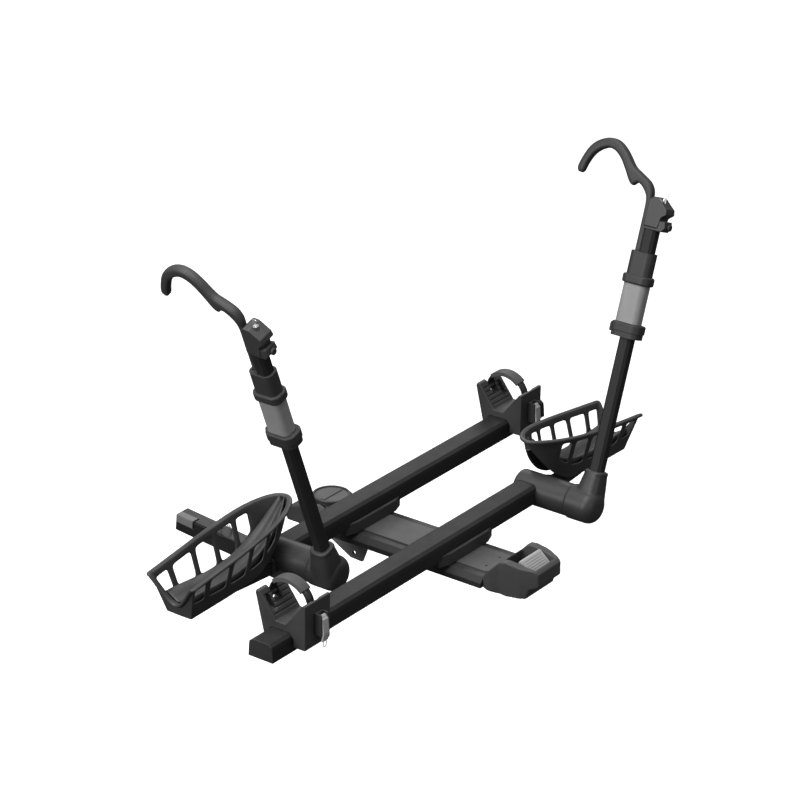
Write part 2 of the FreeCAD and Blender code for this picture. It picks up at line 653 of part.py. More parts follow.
def latch_rod():
    """The rod under the spine that the lever draws back, with the latch bolt at its front."""
    bar = rod(ROD_R, Vector(0, ROD_REAR, ROD_Z), Vector(0, ROD_FRONT, ROD_Z))
    bolt = rod(LATCH_R, Vector(0, SPINE_FRONT - 44.0, ROD_Z), Vector(0, SPINE_FRONT - 2.0, ROD_Z))
    hook_plate = box(-12.0, 12.0, ROD_REAR - 3.0, ROD_REAR + 1.0, ROD_Z - 5.0, ROD_Z + 5.0)
    return fused([bar, bolt, hook_plate])


def handle_foot():
    """The small roller block under the handle, which keeps it off the ground."""
    roller = rod(FOOT_R, Vector(-30.0, FOOT_Y, FOOT_Z), Vector(30.0, FOOT_Y, FOOT_Z))
    stalk = box(-22.0, 22.0, FOOT_Y - 6.0, FOOT_Y + 6.0, FOOT_Z, FOOT_Z + 20.0)
    return fused([roller, stalk]).cut(handle_housing())


# ---- carrier ------------------------------------------------------------------------------

def beam_outline(x, inset):
    """The beam's cross-section: a box with cut upper corners and slightly drawn-in sides."""
    half = BEAM_W / 2 - inset
    lean = 4.0
    top = BEAM_H - inset
    cut = BEAM_CHAMFER
    return [
        Vector(x, -half, inset), Vector(x, half, inset),
        Vector(x, half - lean / 2, top - 16.0), Vector(x, half - lean, top - cut * 0.7),
        Vector(x, half - lean - cut, top), Vector(x, -half + lean + cut, top),
        Vector(x, -half + lean, top - cut * 0.7), Vector(x, -half + lean / 2, top - 16.0),
    ]


def beam():
    """A chamfered tube from the arm's housing out to the beam's tip."""
    tip = BEAM_TIP - CAP_T
    outer = prism(beam_outline(BEAM_ROOT, 0.0), Vector(tip - BEAM_ROOT, 0, 0))
    inner = prism(beam_outline(BEAM_ROOT - 1, BEAM_WALL), Vector(tip - BEAM_ROOT + 2, 0, 0))
    return outer.cut(inner)


def end_cap():
    """A plug with a thin flange on the beam's open end."""
    tip = BEAM_TIP - CAP_T
    flange = prism(beam_outline(tip, 0.0), Vector(CAP_T, 0, 0))
    plug = prism(beam_outline(tip - 25.0, BEAM_WALL + SEAT), Vector(25.0, 0, 0))
    return fused([flange, plug])


def arm_housing():
    """The fixed barrel on the beam's root that carries the arm's hinge pin."""
    barrel = rod(HOUSING_R, Vector(-ARM_X, HOUSING_REAR, HINGE_Z),
                 Vector(-ARM_X, HOUSING_FRONT, HINGE_Z))
    front_edges = [edge for edge in barrel.Edges if edge.BoundBox.YMin > HOUSING_FRONT - 0.1]
    barrel = barrel.makeFillet(9.0, front_edges)
    pocket = prism(beam_outline(BEAM_ROOT - SEAT, -SEAT), Vector(80, 0, 0))
    bore = rod(HINGE_PIN_R + SEAT, Vector(-ARM_X, HOUSING_REAR - 1, HINGE_Z),
               Vector(-ARM_X, -BEAM_W / 2 - 8.0, HINGE_Z))
    lug = box(-ARM_X - HOUSING_R - 8.0, -ARM_X - 20.0, -26.0, 26.0, -16.0, 26.0)
    core_front = -BEAM_W / 2 - 34.0
    core = rod(HOUSING_R - 6.0, Vector(-ARM_X, HOUSING_REAR - 1, HINGE_Z),
               Vector(-ARM_X, core_front, HINGE_Z))
    core = core.cut(rod(HINGE_PIN_R + 8.0, Vector(-ARM_X, HOUSING_REAR - 2, HINGE_Z),
                        Vector(-ARM_X, core_front + 1, HINGE_Z)))
    return fused([barrel, lug]).cut(pocket).cut(bore).cut(core)


def hinge_pin():
    """The pin that the arm turns on, with a flanged outer end."""
    rear = ARM_Y - HUB_REAR + 12.0
    front = -BEAM_W / 2 - 8.0 - SEAT
    return rod(HINGE_PIN_R, Vector(-ARM_X, rear, HINGE_Z), Vector(-ARM_X, front, HINGE_Z))


def tray_point(section, side, inset, z, step=0.0):
    """A point on a section's sloping side, at a height: side is -1, 0 or 1."""
    x, lean, low, half_low, rim, half_rim = section[:6]
    share = (z - low) / (rim - low)
    half = half_low + (half_rim - half_low) * share - inset
    return Vector(x - lean * share + step, side * half, z)


def tray_outside(section):
    """The outline of the tray's outer faces at a section."""
    low = section[2]
    rim = section[4]
    return [tray_point(section, -1, 0, low), tray_point(section, 1, 0, low),
            tray_point(section, 1, 0, rim), tray_point(section, -1, 0, rim)]


def tray_inside(section, step):
    """The hollow above the floor, with a shallow groove along its middle."""
    top = section[4] + 20.0
    edge, middle = section[6:]
    return [tray_point(section, 0, 0, middle, step), tray_point(section, 1, TRAY_WALL, edge, step),
            tray_point(section, 1, TRAY_WALL, top, step), tray_point(section, -1, TRAY_WALL, top, step),
            tray_point(section, -1, TRAY_WALL, edge, step)]


def tray_underside(section, step):
    """The hollow below the floor."""
    low = section[2] - 5.0
    edge, middle = section[6:]
    return [tray_point(section, -1, TRAY_WALL, low, step), tray_point(section, 1, TRAY_WALL, low, step),
            tray_point(section, 1, TRAY_WALL, edge - FLOOR_T, step),
            tray_point(section, 0, 0, middle - FLOOR_T, step),
            tray_point(section, -1, TRAY_WALL, edge - FLOOR_T, step)]


def tray_level(x, column):
    """One column of the tray's table, read off between its rows."""
    rows = TRAY_SECTIONS
    for left, right in zip(rows, rows[1:]):
        if left[0] <= x <= right[0]:
            share = (x - left[0]) / (right[0] - left[0])
            return left[column] + (right[column] - left[column]) * share
    return rows[0][column] if x < rows[0][0] else rows[-1][column]


def wheel_tray():
    """The boat-shaped basket for the front wheel, with windows through both walls."""
    shell = loft([tray_outside(section) for section in TRAY_SECTIONS])
    first = TRAY_SECTIONS[0]
    hollow = loft([tray_inside(section, TRAY_WALL if section is first else 0.0)
                   for section in TRAY_SECTIONS[:-1]])
    under = loft([tray_underside(section, TRAY_WALL if section is first else 0.0)
                  for section in TRAY_SECTIONS[:-2]])
    tray = shell.cut(hollow).cut(under)
    for left, right in TRAY_WINDOWS:
        corners = [
            Vector(left, -100, tray_level(left, 6) + WINDOW_LOW),
            Vector(right, -100, tray_level(right, 6) + WINDOW_LOW),
            Vector(right + 5.0, -100, tray_level(right + 5.0, 4) - WINDOW_TOP),
            Vector(left - 3.0, -100, tray_level(left - 3.0, 4) - WINDOW_TOP),
        ]
        window = prism(corners, Vector(0, 200, 0))
        window = window.makeFillet(9.0, edges_along(window, Y_AXIS))
        tray = tray.cut(window)
    end_slot = box(-800.0, -740.0, -20.0, 20.0, 62.0, 90.0)
    end_slot = end_slot.makeFillet(8.0, edges_along(end_slot, X_AXIS))
    return tray.cut(end_slot)


def tray_support():
    """The bracket that reaches out from the housing's lug and holds the tray from below."""
    lug_end = -ARM_X - HOUSING_R - 8.0
    profile = [
        Vector(lug_end - SEAT, -SUPPORT_HALF, -16.0), Vector(lug_end - SEAT, -SUPPORT_HALF, 24.0),
        Vector(-430.0, -SUPPORT_HALF, 26.0), Vector(-480.0, -SUPPORT_HALF, 6.0),
        Vector(SUPPORT_TIP, -SUPPORT_HALF, 0.0), Vector(SUPPORT_TIP, -SUPPORT_HALF, -6.0),
        Vector(-480.0, -SUPPORT_HALF, -12.0),
    ]
    bar = prism(profile, Vector(0, 2 * SUPPORT_HALF, 0))
    room = loft([tray_outside(section) for section in TRAY_SECTIONS])
    return bar.cut(room)


# ---- arm, drawn upright with the arm's line as Z ------------------------------------------

def hinge_in_arm():
    """The hinge's place in the upright arm's own frame, as its X and Z."""
    lean = math.radians(ARM_LEAN)
    return HINGE_Z * math.sin(lean), HINGE_Z * math.cos(lean)


def rounded_wire(half_x, y_low, y_high, corner, z):
    """A closed rounded rectangle at one height, as four lines and four arcs."""
    turn = corner * (1.0 - math.sqrt(0.5))
    left, right = -half_x, half_x
    return Part.Wire([
        Part.makeLine(Vector(left + corner, y_low, z), Vector(right - corner, y_low, z)),
        Part.Arc(Vector(right - corner, y_low, z), Vector(right - turn, y_low + turn, z),
                 Vector(right, y_low + corner, z)).toShape(),
        Part.makeLine(Vector(right, y_low + corner, z), Vector(right, y_high - corner, z)),
        Part.Arc(Vector(right, y_high - corner, z), Vector(right - turn, y_high - turn, z),
                 Vector(right - corner, y_high, z)).toShape(),
        Part.makeLine(Vector(right - corner, y_high, z), Vector(left + corner, y_high, z)),
        Part.Arc(Vector(left + corner, y_high, z), Vector(left + turn, y_high - turn, z),
                 Vector(left, y_high - corner, z)).toShape(),
        Part.makeLine(Vector(left, y_high - corner, z), Vector(left, y_low + corner, z)),
        Part.Arc(Vector(left, y_low + corner, z), Vector(left + turn, y_low + turn, z),
                 Vector(left + corner, y_low, z)).toShape(),
    ])


def arm_hub():
    """The rotating elbow: a round hub with a domed end that draws in to a collar round the tube."""
    hinge_x, hinge_z = hinge_in_arm()
    front = HUB_HALF_Y
    body = rod(HUB_R, Vector(hinge_x, -HUB_REAR, hinge_z), Vector(hinge_x, front, hinge_z))
    body = body.makeFillet(30.0, [edge for edge in body.Edges if edge.BoundBox.YMax < -HUB_REAR + 0.1])
    collar = ARM_TUBE / 2 + 8.0
    neck = Part.makeLoft([
        rounded_wire(HUB_R - 6.0, -HUB_REAR + 6.0, front - 4.0, 26.0, hinge_z),
        rounded_wire(HUB_R - 10.0, -HUB_REAR + 3.0, front - 14.0, 26.0, hinge_z + 36.0),
        rounded_wire(collar + 3.0, -collar - 3.0, collar + 4.0, 14.0, COLLAR_S - 16.0),
        rounded_wire(collar, -collar, collar, 12.0, COLLAR_S),
    ], True, False)
    hub = fused([body, neck])
    room = ARM_TUBE + 2 * SEAT
    socket = box(-room / 2, room / 2, -room / 2, room / 2, TUBE_FOOT - SEAT, COLLAR_S + 1)
    socket = socket.makeChamfer(ARM_TUBE_CHAMFER, edges_along(socket, Z_AXIS))
    hub = hub.cut(socket)
    core_y = ARM_TUBE / 2 + 6.0
    core = rod(HUB_R - 6.0, Vector(hinge_x, core_y, hinge_z), Vector(hinge_x, front + 1, hinge_z))
    core = core.cut(rod(HINGE_PIN_R + 8.0, Vector(hinge_x, core_y - 1, hinge_z),
                        Vector(hinge_x, front + 2, hinge_z)))
    hub = hub.cut(core)
    pin = rod(HINGE_PIN_R + RUN, Vector(hinge_x, -HUB_REAR + 12.0 - SEAT, hinge_z),
              Vector(hinge_x, front + 1, hinge_z))
    return hub.cut(pin)


def arm_tube():
    """The chamfered tube that the grip slides along."""
    tube = chamfered_bar(ARM_TUBE, ARM_TUBE_CHAMFER, TUBE_FOOT, ARM_LENGTH)
    bore_size = ARM_TUBE - 2 * ARM_TUBE_WALL
    bore = chamfered_bar(bore_size, ARM_TUBE_CHAMFER - 1.0, TUBE_FOOT - 1, ARM_LENGTH + 1)
    return tube.cut(bore)


def lock_head():
    """The moulded head on the tube's top, with its sloping crown and a ring for the cable's plug."""
    half = ARM_TUBE / 2 + 5.0
    near = ARM_TUBE / 2 - 0.2
    back = -ARM_TUBE / 2 - 6.0
    crown = [
        Vector(-half, near, HEAD_LOW + 8.0), Vector(-half, near, HEAD_LOW + 78.0),
        Vector(-half, 6.0, HEAD_LOW + 88.0), Vector(-half, -10.0, HEAD_LOW + 86.0),
        Vector(-half, back - 16.0, HEAD_LOW + 62.0), Vector(-half, back - 19.0, HEAD_LOW + 48.0),
        Vector(-half, back - 4.0, HEAD_LOW + 36.0), Vector(-half, back, HEAD_LOW + 8.0),
    ]
    head = prism(crown, Vector(2 * half, 0, 0))
    ring = [
        Vector(-half + 3, near, HEAD_LOW), Vector(-half + 3, near, HEAD_LOW + 20.0),
        Vector(-half + 3, back + 2.0, HEAD_LOW + 26.0), Vector(-half + 3, back - 18.0, HEAD_LOW + 30.0),
        Vector(-half + 3, back - 22.0, HEAD_LOW + 12.0), Vector(-half + 3, back - 12.0, HEAD_LOW),
    ]
    head = fused([head, prism(ring, Vector(2 * half - 6, 0, 0))])
    room = ARM_TUBE + 2 * SEAT
    socket = box(-room / 2, room / 2, -room / 2, room / 2, HEAD_LOW - 1, ARM_LENGTH + SEAT)
    socket = socket.makeChamfer(ARM_TUBE_CHAMFER, edges_along(socket, Z_AXIS))
    head = head.cut(socket)
    head = head.cut(lock_barrel_room())
    return head.cut(rod(6.0 + SEAT, Vector(0, back - 36.0, PLUG_Z), Vector(0, back - 2.0, PLUG_Z)))


def lock_barrel_room():
    """The turned pocket that the lock's barrel runs in."""
    return Part.makeCylinder(LOCK_R + RUN, LOCK_TOP - LOCK_BASE + 20.0, Vector(0, LOCK_Y, LOCK_BASE))


def lock_key():
    """The lock's barrel with its key left in."""
    barrel = Part.makeCylinder(LOCK_R, LOCK_TOP - LOCK_BASE - 0.5, Vector(0, LOCK_Y, LOCK_BASE + 0.5))
    blade = box(-1.2, 1.2, LOCK_Y - 4.0, LOCK_Y + 4.0, LOCK_TOP - 2.0, LOCK_TOP + 6.0)
    bow = box(-1.2, 1.2, LOCK_Y - 9.0, LOCK_Y + 9.0, LOCK_TOP + 5.0, LOCK_TOP + 19.0)
    bow = bow.makeFillet(5.0, edges_along(bow, X_AXIS))
    return fused([barrel, blade, bow])


def cable_plug():
    """The end plug of the security cable that stows inside the arm."""
    root = -ARM_TUBE / 2 - 10.0
    pin = rod(6.0, Vector(0, root - 20.0, PLUG_Z), Vector(0, root, PLUG_Z))
    head = rod(9.0, Vector(0, root - 25.0, PLUG_Z), Vector(0, root - 19.0, PLUG_Z))
    head = head.makeFillet(2.0, [edge for edge in head.Edges if edge.BoundBox.YMax < root - 24.9])
    return fused([pin, head])


def slider():
    """The grip that slides on the arm: a flared lower collar, a waist for the band and a sleeve."""
    collar_mid = SLIDER_LOW + (COLLAR_TOP - SLIDER_LOW) * 0.4
    lower = rounded_bar(SLIDER_D + 10.0, SLIDER_W + 14.0, 20.0, SLIDER_LOW, collar_mid, SLIDER_Y - 3.0)
    flare = rounded_bar(SLIDER_D + 16.0, SLIDER_W + 20.0, 24.0, collar_mid, COLLAR_TOP, SLIDER_Y - 3.0)
    flare = flare.makeFillet(4.0, [edge for edge in flare.Edges if edge.BoundBox.ZMin > COLLAR_TOP - 0.1])
    waist = rounded_bar(SLIDER_D - 2 * BAND_T, SLIDER_W - 2 * BAND_T, 15.0,
                        COLLAR_TOP - 5, RIDGE_LOW + 5, SLIDER_Y)
    ridge = rounded_bar(SLIDER_D + 12.0, SLIDER_W + 14.0, 22.0, RIDGE_LOW, RIDGE_TOP, SLIDER_Y)
    ridge = ridge.makeFillet(5.0, [edge for edge in ridge.Edges
                                   if edge.BoundBox.ZLength < 0.01])
    sleeve = rounded_bar(SLIDER_D, SLIDER_W, 18.0, RIDGE_TOP - 5, SLIDER_TOP, SLIDER_Y)
    body = fused([lower, flare, waist, ridge, sleeve])
    room = ARM_TUBE + 2 * GAP
    bore = chamfered_bar(room, ARM_TUBE_CHAMFER, SLIDER_LOW - 1, SLIDER_TOP + 1)
    body = body.cut(bore)
    neck_half = NECK_D / 2 + SEAT
    neck_in = NECK_INNER - SEAT
    body = body.cut(box(-neck_half, neck_half, neck_in, neck_in + NECK_W + 2 * SEAT,
                        NECK_FOOT - SEAT, SLIDER_TOP + 1))
    half = BUTTON_HALF + GAP
    return body.cut(box(-half, half, BUTTON_INNER - BUTTON_TRAVEL - GAP, SLIDER_Y + SLIDER_W,
                        BUTTON_LOW - GAP, BUTTON_TOP + GAP))


def grip_band():
    """The pale sleeve wrapped round the grip's waist."""
    outer = rounded_bar(SLIDER_D, SLIDER_W, 17.0, BAND_LOW, BAND_TOP - 0.5, SLIDER_Y)
    inner_w = SLIDER_D - 2 * BAND_T + 2 * SEAT
    inner = rounded_bar(inner_w, inner_w + SLIDER_W - SLIDER_D, 15.0, BAND_LOW - 1, BAND_TOP + 1, SLIDER_Y)
    return outer.cut(inner)


def slider_button():
    """The thumb button that frees the grip."""
    outer = SLIDER_Y + SLIDER_W / 2 + 14.0
    button = box(-BUTTON_HALF, BUTTON_HALF, BUTTON_INNER, outer, BUTTON_LOW, BUTTON_TOP)
    return button.makeFillet(4.0, edges_along(button, Y_AXIS))


def hook_point(out, up):
    """A point of the hook's outline, in the arm's own plane."""
    return Vector(0, NECK_INNER + out, ARM_LENGTH + up)


def wheel_hook():
    """The hook that comes down over the front tyre, with its straight neck along the arm."""
    neck_out = NECK_INNER + NECK_W
    outer = Part.BSplineCurve()
    outline = [hook_point(*point) for point in HOOK_OUTER]
    underline = [hook_point(*point) for point in HOOK_INNER]
    outer.interpolate(outline)
    inner = Part.BSplineCurve()
    inner.interpolate(underline)
    tip_mid = (outline[-1] + underline[0]) * 0.5 + Vector(0, 0, -9.0)
    edges = [outer.toShape(), Part.Arc(outline[-1], tip_mid, underline[0]).toShape(), inner.toShape(),
             Part.makeLine(underline[-1], outline[0])]
    head = Part.Face(Part.Wire(Part.__sortEdges__(edges))).extrude(Vector(HOOK_D, 0, 0))
    head.translate(Vector(-HOOK_D / 2, 0, 0))
    neck = box(-NECK_D / 2, NECK_D / 2, NECK_INNER, neck_out, NECK_FOOT, NECK_TOP)
    return fused([head, neck])


# ---- rear-wheel cradle --------------------------------------------------------------------

def cradle_x(x):
    """A distance along the beam from the cradle's middle, as the inner carrier's X."""
    return CRADLE_X + x


def cradle():
    """The block that straddles the beam, with a ribbed groove for the tyre."""
    half = CRADLE_HALF
    inner = BEAM_W / 2 + GAP
    start = cradle_x(-CRADLE_LENGTH / 2)
    profile = [
        Vector(start, -half + 2.0, 12.0), Vector(start, -half, CRADLE_TOP),
        Vector(start, -half + 8.0, CRADLE_TOP + 1.0), Vector(start, -16.0, CRADLE_V_LOW),
        Vector(start, 16.0, CRADLE_V_LOW), Vector(start, half - 12.0, CRADLE_TOP),
        Vector(start, half - 3.0, CRADLE_TOP + 2.0), Vector(start, half, CRADLE_TOP - 6.0),
        Vector(start, inner + 14.0, 18.0), Vector(start, inner, 14.0),
        Vector(start, inner, BEAM_H - 14.0), Vector(start, inner - 12.0, BEAM_H + GAP),
        Vector(start, -inner + 12.0, BEAM_H + GAP), Vector(start, -inner, BEAM_H - 14.0),
        Vector(start, -inner, 12.0),
    ]
    block = prism(profile, Vector(CRADLE_LENGTH, 0, 0))
    beam_room = prism(beam_outline(start - 1.0, -GAP), Vector(CRADLE_LENGTH + 2.0, 0, 0))
    block = block.cut(beam_room)
    for side in (-1, 1):
        for index in range(5):
            share = 0.16 + 0.16 * index
            y = side * (16.0 + (half - 26.0) * share)
            z = CRADLE_V_LOW + (CRADLE_TOP - CRADLE_V_LOW) * share
            groove = rod(2.0, Vector(start + 8.0, y, z), Vector(start + CRADLE_LENGTH - 8.0, y, z))
            block = block.cut(groove)
    slot = box(cradle_x(-SLOT_HALF), cradle_x(SLOT_HALF), 40.0, half + 20.0, 92.0, CRADLE_TOP + 10.0)
    slot = slot.makeFillet(6.0, edges_along(slot, Y_AXIS))
    block = block.cut(slot)
    keyhole = box(cradle_x(SLOT_HALF + 9.0), cradle_x(SLOT_HALF + 25.0), 20.0, half + 20.0, 84.0, 120.0)
    keyhole = keyhole.makeFillet(7.0, edges_along(keyhole, Y_AXIS))
    block = block.cut(keyhole)
    pocket_front = box(start + 8.0, start + CRADLE_LENGTH - 8.0, -half + 7.0, -inner - 5.0, 0.0, 74.0)
    block = block.cut(pocket_front)
    strap_well = box(cradle_x(-STRAP_W / 2 - 2.0), cradle_x(STRAP_W / 2 + 2.0), -half + 6.0, -44.0,
                     84.0, CRADLE_TOP + 10.0)
    block = block.cut(strap_well)
    return fused([block, strap_pin()])


def strap_pin():
    """The strap's hinge pin, across the slot in the cradle's tall wall."""
    ends = SLOT_HALF + 8.0
    return rod(STRAP_PIN_R, Vector(cradle_x(-ends), STRAP_HINGE_Y, STRAP_HINGE_Z),
               Vector(cradle_x(ends), STRAP_HINGE_Y, STRAP_HINGE_Z))


def strap():
    """The ratchet strap with its hinge eye."""
    x0 = cradle_x(-STRAP_W / 2)
    x1 = cradle_x(STRAP_W / 2)
    band = ribbon(STRAP_PATH, STRAP_T, x0, x1)
    middle = Vector(x0, STRAP_HINGE_Y, STRAP_HINGE_Z)
    eye = rod(7.5, middle, middle + Vector(STRAP_W, 0, 0))
    whole = fused([band, eye])
    return whole.cut(rod(STRAP_PIN_R + RUN, middle - Vector(1, 0, 0), middle + Vector(STRAP_W + 1, 0, 0)))


def strap_sleeve():
    """The soft pad threaded on the strap over the tyre."""
    path = STRAP_PATH[SLEEVE_FIRST:SLEEVE_LAST + 1]
    half = STRAP_W / 2 + 4.0
    outer = ribbon(path, STRAP_T + 7.0, cradle_x(-half), cradle_x(half))
    inner = strap_band_room()
    return outer.cut(inner)


def strap_band_room():
    """The slot through the pad, one clearance larger than the strap."""
    half = STRAP_W / 2 + SLEEVE_GAP
    return ribbon(STRAP_PATH, STRAP_T + 2 * SLEEVE_GAP, cradle_x(-half), cradle_x(half))


def buckle():
    """The ratchet buckle on the cradle's outer plate."""
    cheek = 4.0
    body = box(cradle_x(-BUCKLE_HALF), cradle_x(BUCKLE_HALF), BUCKLE_OUT, -CRADLE_HALF - SEAT,
               BUCKLE_LOW, BUCKLE_TOP)
    outer_edges = [edge for edge in edges_along(body, X_AXIS) if edge.BoundBox.YMax < BUCKLE_OUT + 1]
    body = body.makeFillet(4.0, outer_edges)
    inside = box(cradle_x(-BUCKLE_HALF + cheek), cradle_x(BUCKLE_HALF - cheek), BUCKLE_OUT - 1,
                 -CRADLE_HALF - 6.0, BUCKLE_LOW - 1, BUCKLE_TOP + 1)
    body = body.cut(inside)
    axle = rod(2.5, Vector(cradle_x(-BUCKLE_HALF + 1), LEVER_AXLE_Y, LEVER_AXLE_Z),
               Vector(cradle_x(BUCKLE_HALF - 1), LEVER_AXLE_Y, LEVER_AXLE_Z))
    return fused([body, axle])


def buckle_lever():
    """The pale lever that works the ratchet, with a wire pull loop at its lower end."""
    half = BUCKLE_HALF - 4.0 - GAP
    hub_end = Vector(cradle_x(-half), LEVER_AXLE_Y, LEVER_AXLE_Z)
    hub = rod(6.5, hub_end, hub_end + Vector(2 * half, 0, 0))
    out = LEVER_AXLE_Y - 11.0
    arm = [
        Vector(cradle_x(-half), LEVER_AXLE_Y - 1.0, LEVER_AXLE_Z + 6.0),
        Vector(cradle_x(-half), out, LEVER_AXLE_Z - 2.0), Vector(cradle_x(-half), out - 3.0, 52.0),
        Vector(cradle_x(-half), out + 1.0, 30.0), Vector(cradle_x(-half), out + 6.0, 30.0),
        Vector(cradle_x(-half), out + 2.5, 52.0), Vector(cradle_x(-half), out + 5.5, LEVER_AXLE_Z - 6.0),
        Vector(cradle_x(-half), LEVER_AXLE_Y, LEVER_AXLE_Z - 6.0),
    ]
    plate = prism(arm, Vector(2 * half, 0, 0))
    loop_y = out + 3.5
    left = Vector(cradle_x(-6.0), loop_y, 31.0)
    right = Vector(cradle_x(6.0), loop_y, 31.0)
    drop = Vector(0, 0, -12.0)
    arc = Part.Arc(left + drop, Vector(cradle_x(0.0), loop_y, 13.0), right + drop)
    path = Part.Wire([Part.makeLine(left, left + drop), arc.toShape(), Part.makeLine(right + drop, right)])
    wire = path.makePipeShell([Part.Wire([Part.makeCircle(1.2, left, Z_AXIS)])], True, True)
    lever = fused([hub, plate, wire])
    bore_end = hub_end - Vector(1, 0, 0)
    return lever.cut(rod(2.5 + RUN, bore_end, bore_end + Vector(2 * half + 2, 0, 0)))


# ---- write every piece --------------------------------------------------------------------
save("hitch_shank", hitch_shank())
save("shank_wedge", shank_wedge())
save("mast", mast())
save("safety_loop", safety_loop())
save_platform("hub_cover", hub_cover())
save_platform("pivot_bolt", pivot_bolt())
save_platform("tension_knob", tension_knob())
save_platform("knob_plate", knob_plate())

save_platform("spine", spine())
save_platform("spine_plate", spine_plate())
save_platform("left_tilt_ear", tilt_ear(-1))
save_platform("right_tilt_ear", tilt_ear(1))
save_platform("inner_saddle", saddle())
outer_saddle = saddle()
outer_saddle.translate(Vector(0, -BEAM_SPACING, 0))
save_platform("outer_saddle", outer_saddle)
save_platform("platform_screws", platform_screws())
save_platform("handle_housing", handle_housing())
save_platform("lever_pin", lever_pin())
save_platform("handle_foot", handle_foot())
save_platform("release_lever", release_lever())
save_platform("latch_rod", latch_rod())

save_pair("beam", beam())
save_pair("end_cap", end_cap())
save_pair("arm_housing", arm_housing())
save_pair("hinge_pin", hinge_pin())
save_pair("wheel_tray", wheel_tray())
save_pair("tray_support", tray_support())
save_pair("arm_hub", place_arm(arm_hub()))
save_pair("arm_tube", place_arm(arm_tube()))
save_pair("lock_head", place_arm(lock_head()))
save_pair("lock_key", place_arm(lock_key()))
save_pair("cable_plug", place_arm(cable_plug()))
save_pair("slider", place_arm(slider()))
save_pair("grip_band", place_arm(grip_band()))
save_pair("slider_button", place_arm(slider_button()))
save_pair("wheel_hook", place_arm(wheel_hook()))
save_pair("cradle", cradle())
save_pair("strap", strap())
save_pair("strap_sleeve", strap_sleeve())
save_pair("buckle", buckle())
save_pair("buckle_lever", buckle_lever())
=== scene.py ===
"""Finishes, small moulded details and the studio for a two-bike hitch rack.

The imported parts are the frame: they stay where they are, and get their finishes here.
Lengths are in metres.  The platform's own frame has its origin at the middle of the inner beam's
underside, and is tilted about X.
"""
import json
import math
import bmesh
import bpy
import numpy as np
from mathutils import Matrix, Vector


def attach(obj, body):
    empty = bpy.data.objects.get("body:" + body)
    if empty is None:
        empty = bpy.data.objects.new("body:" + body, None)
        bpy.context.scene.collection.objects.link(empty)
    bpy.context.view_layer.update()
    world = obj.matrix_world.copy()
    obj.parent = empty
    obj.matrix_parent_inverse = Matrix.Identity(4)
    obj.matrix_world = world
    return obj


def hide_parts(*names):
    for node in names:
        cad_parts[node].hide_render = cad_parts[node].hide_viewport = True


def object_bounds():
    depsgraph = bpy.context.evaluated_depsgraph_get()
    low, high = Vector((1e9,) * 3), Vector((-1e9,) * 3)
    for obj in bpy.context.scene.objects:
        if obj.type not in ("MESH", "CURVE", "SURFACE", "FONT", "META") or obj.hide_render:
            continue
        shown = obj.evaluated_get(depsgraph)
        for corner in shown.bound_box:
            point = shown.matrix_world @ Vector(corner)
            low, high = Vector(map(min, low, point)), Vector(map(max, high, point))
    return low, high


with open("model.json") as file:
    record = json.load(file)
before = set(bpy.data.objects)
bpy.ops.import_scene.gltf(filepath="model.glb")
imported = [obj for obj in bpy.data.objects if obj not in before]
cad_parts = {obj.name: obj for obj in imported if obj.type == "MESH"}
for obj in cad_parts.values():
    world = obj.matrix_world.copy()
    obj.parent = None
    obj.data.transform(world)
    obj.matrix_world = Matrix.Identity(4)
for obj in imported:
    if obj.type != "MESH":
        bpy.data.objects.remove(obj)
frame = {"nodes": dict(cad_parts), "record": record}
cad_low, cad_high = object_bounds()

# ---- camera -------------------------------------------------------------------------------
CAMERA_PLACE = (-5.6718, -4.5853, 4.2014)
CAMERA_RIGHT = (0.6038, -0.7936, 0.0751)
CAMERA_UP = (0.3240, 0.3303, 0.8865)
CAMERA_BACK = (-0.7284, -0.5109, 0.4565)
LENS = 134.2

# ---- studio -------------------------------------------------------------------------------
FLOOR_DROP = 0.30        # the hitch holds the rack this far above the ground, under its lowest piece


def make_camera():
    """A long lens at three-quarter height, with a slight roll."""
    data = bpy.data.cameras.new("camera")
    data.lens = LENS
    data.sensor_width = 36.0
    data.clip_end = 60.0
    camera = bpy.data.objects.new("camera", data)
    bpy.context.scene.collection.objects.link(camera)
    columns = (CAMERA_RIGHT, CAMERA_UP, CAMERA_BACK, CAMERA_PLACE)
    rows = [[column[row] for column in columns] for row in range(3)]
    camera.matrix_world = Matrix(rows + [[0, 0, 0, 1]])
    bpy.context.scene.camera = camera


def make_light(name, place, aim, size, power):
    """One soft square lamp turned towards a point."""
    data = bpy.data.lights.new(name, "AREA")
    data.shape = "SQUARE"
    data.size = size
    data.energy = power
    lamp = bpy.data.objects.new(name, data)
    bpy.context.scene.collection.objects.link(lamp)
    lamp.location = place
    lamp.rotation_euler = (Vector(aim) - Vector(place)).to_track_quat("-Z", "Y").to_euler()


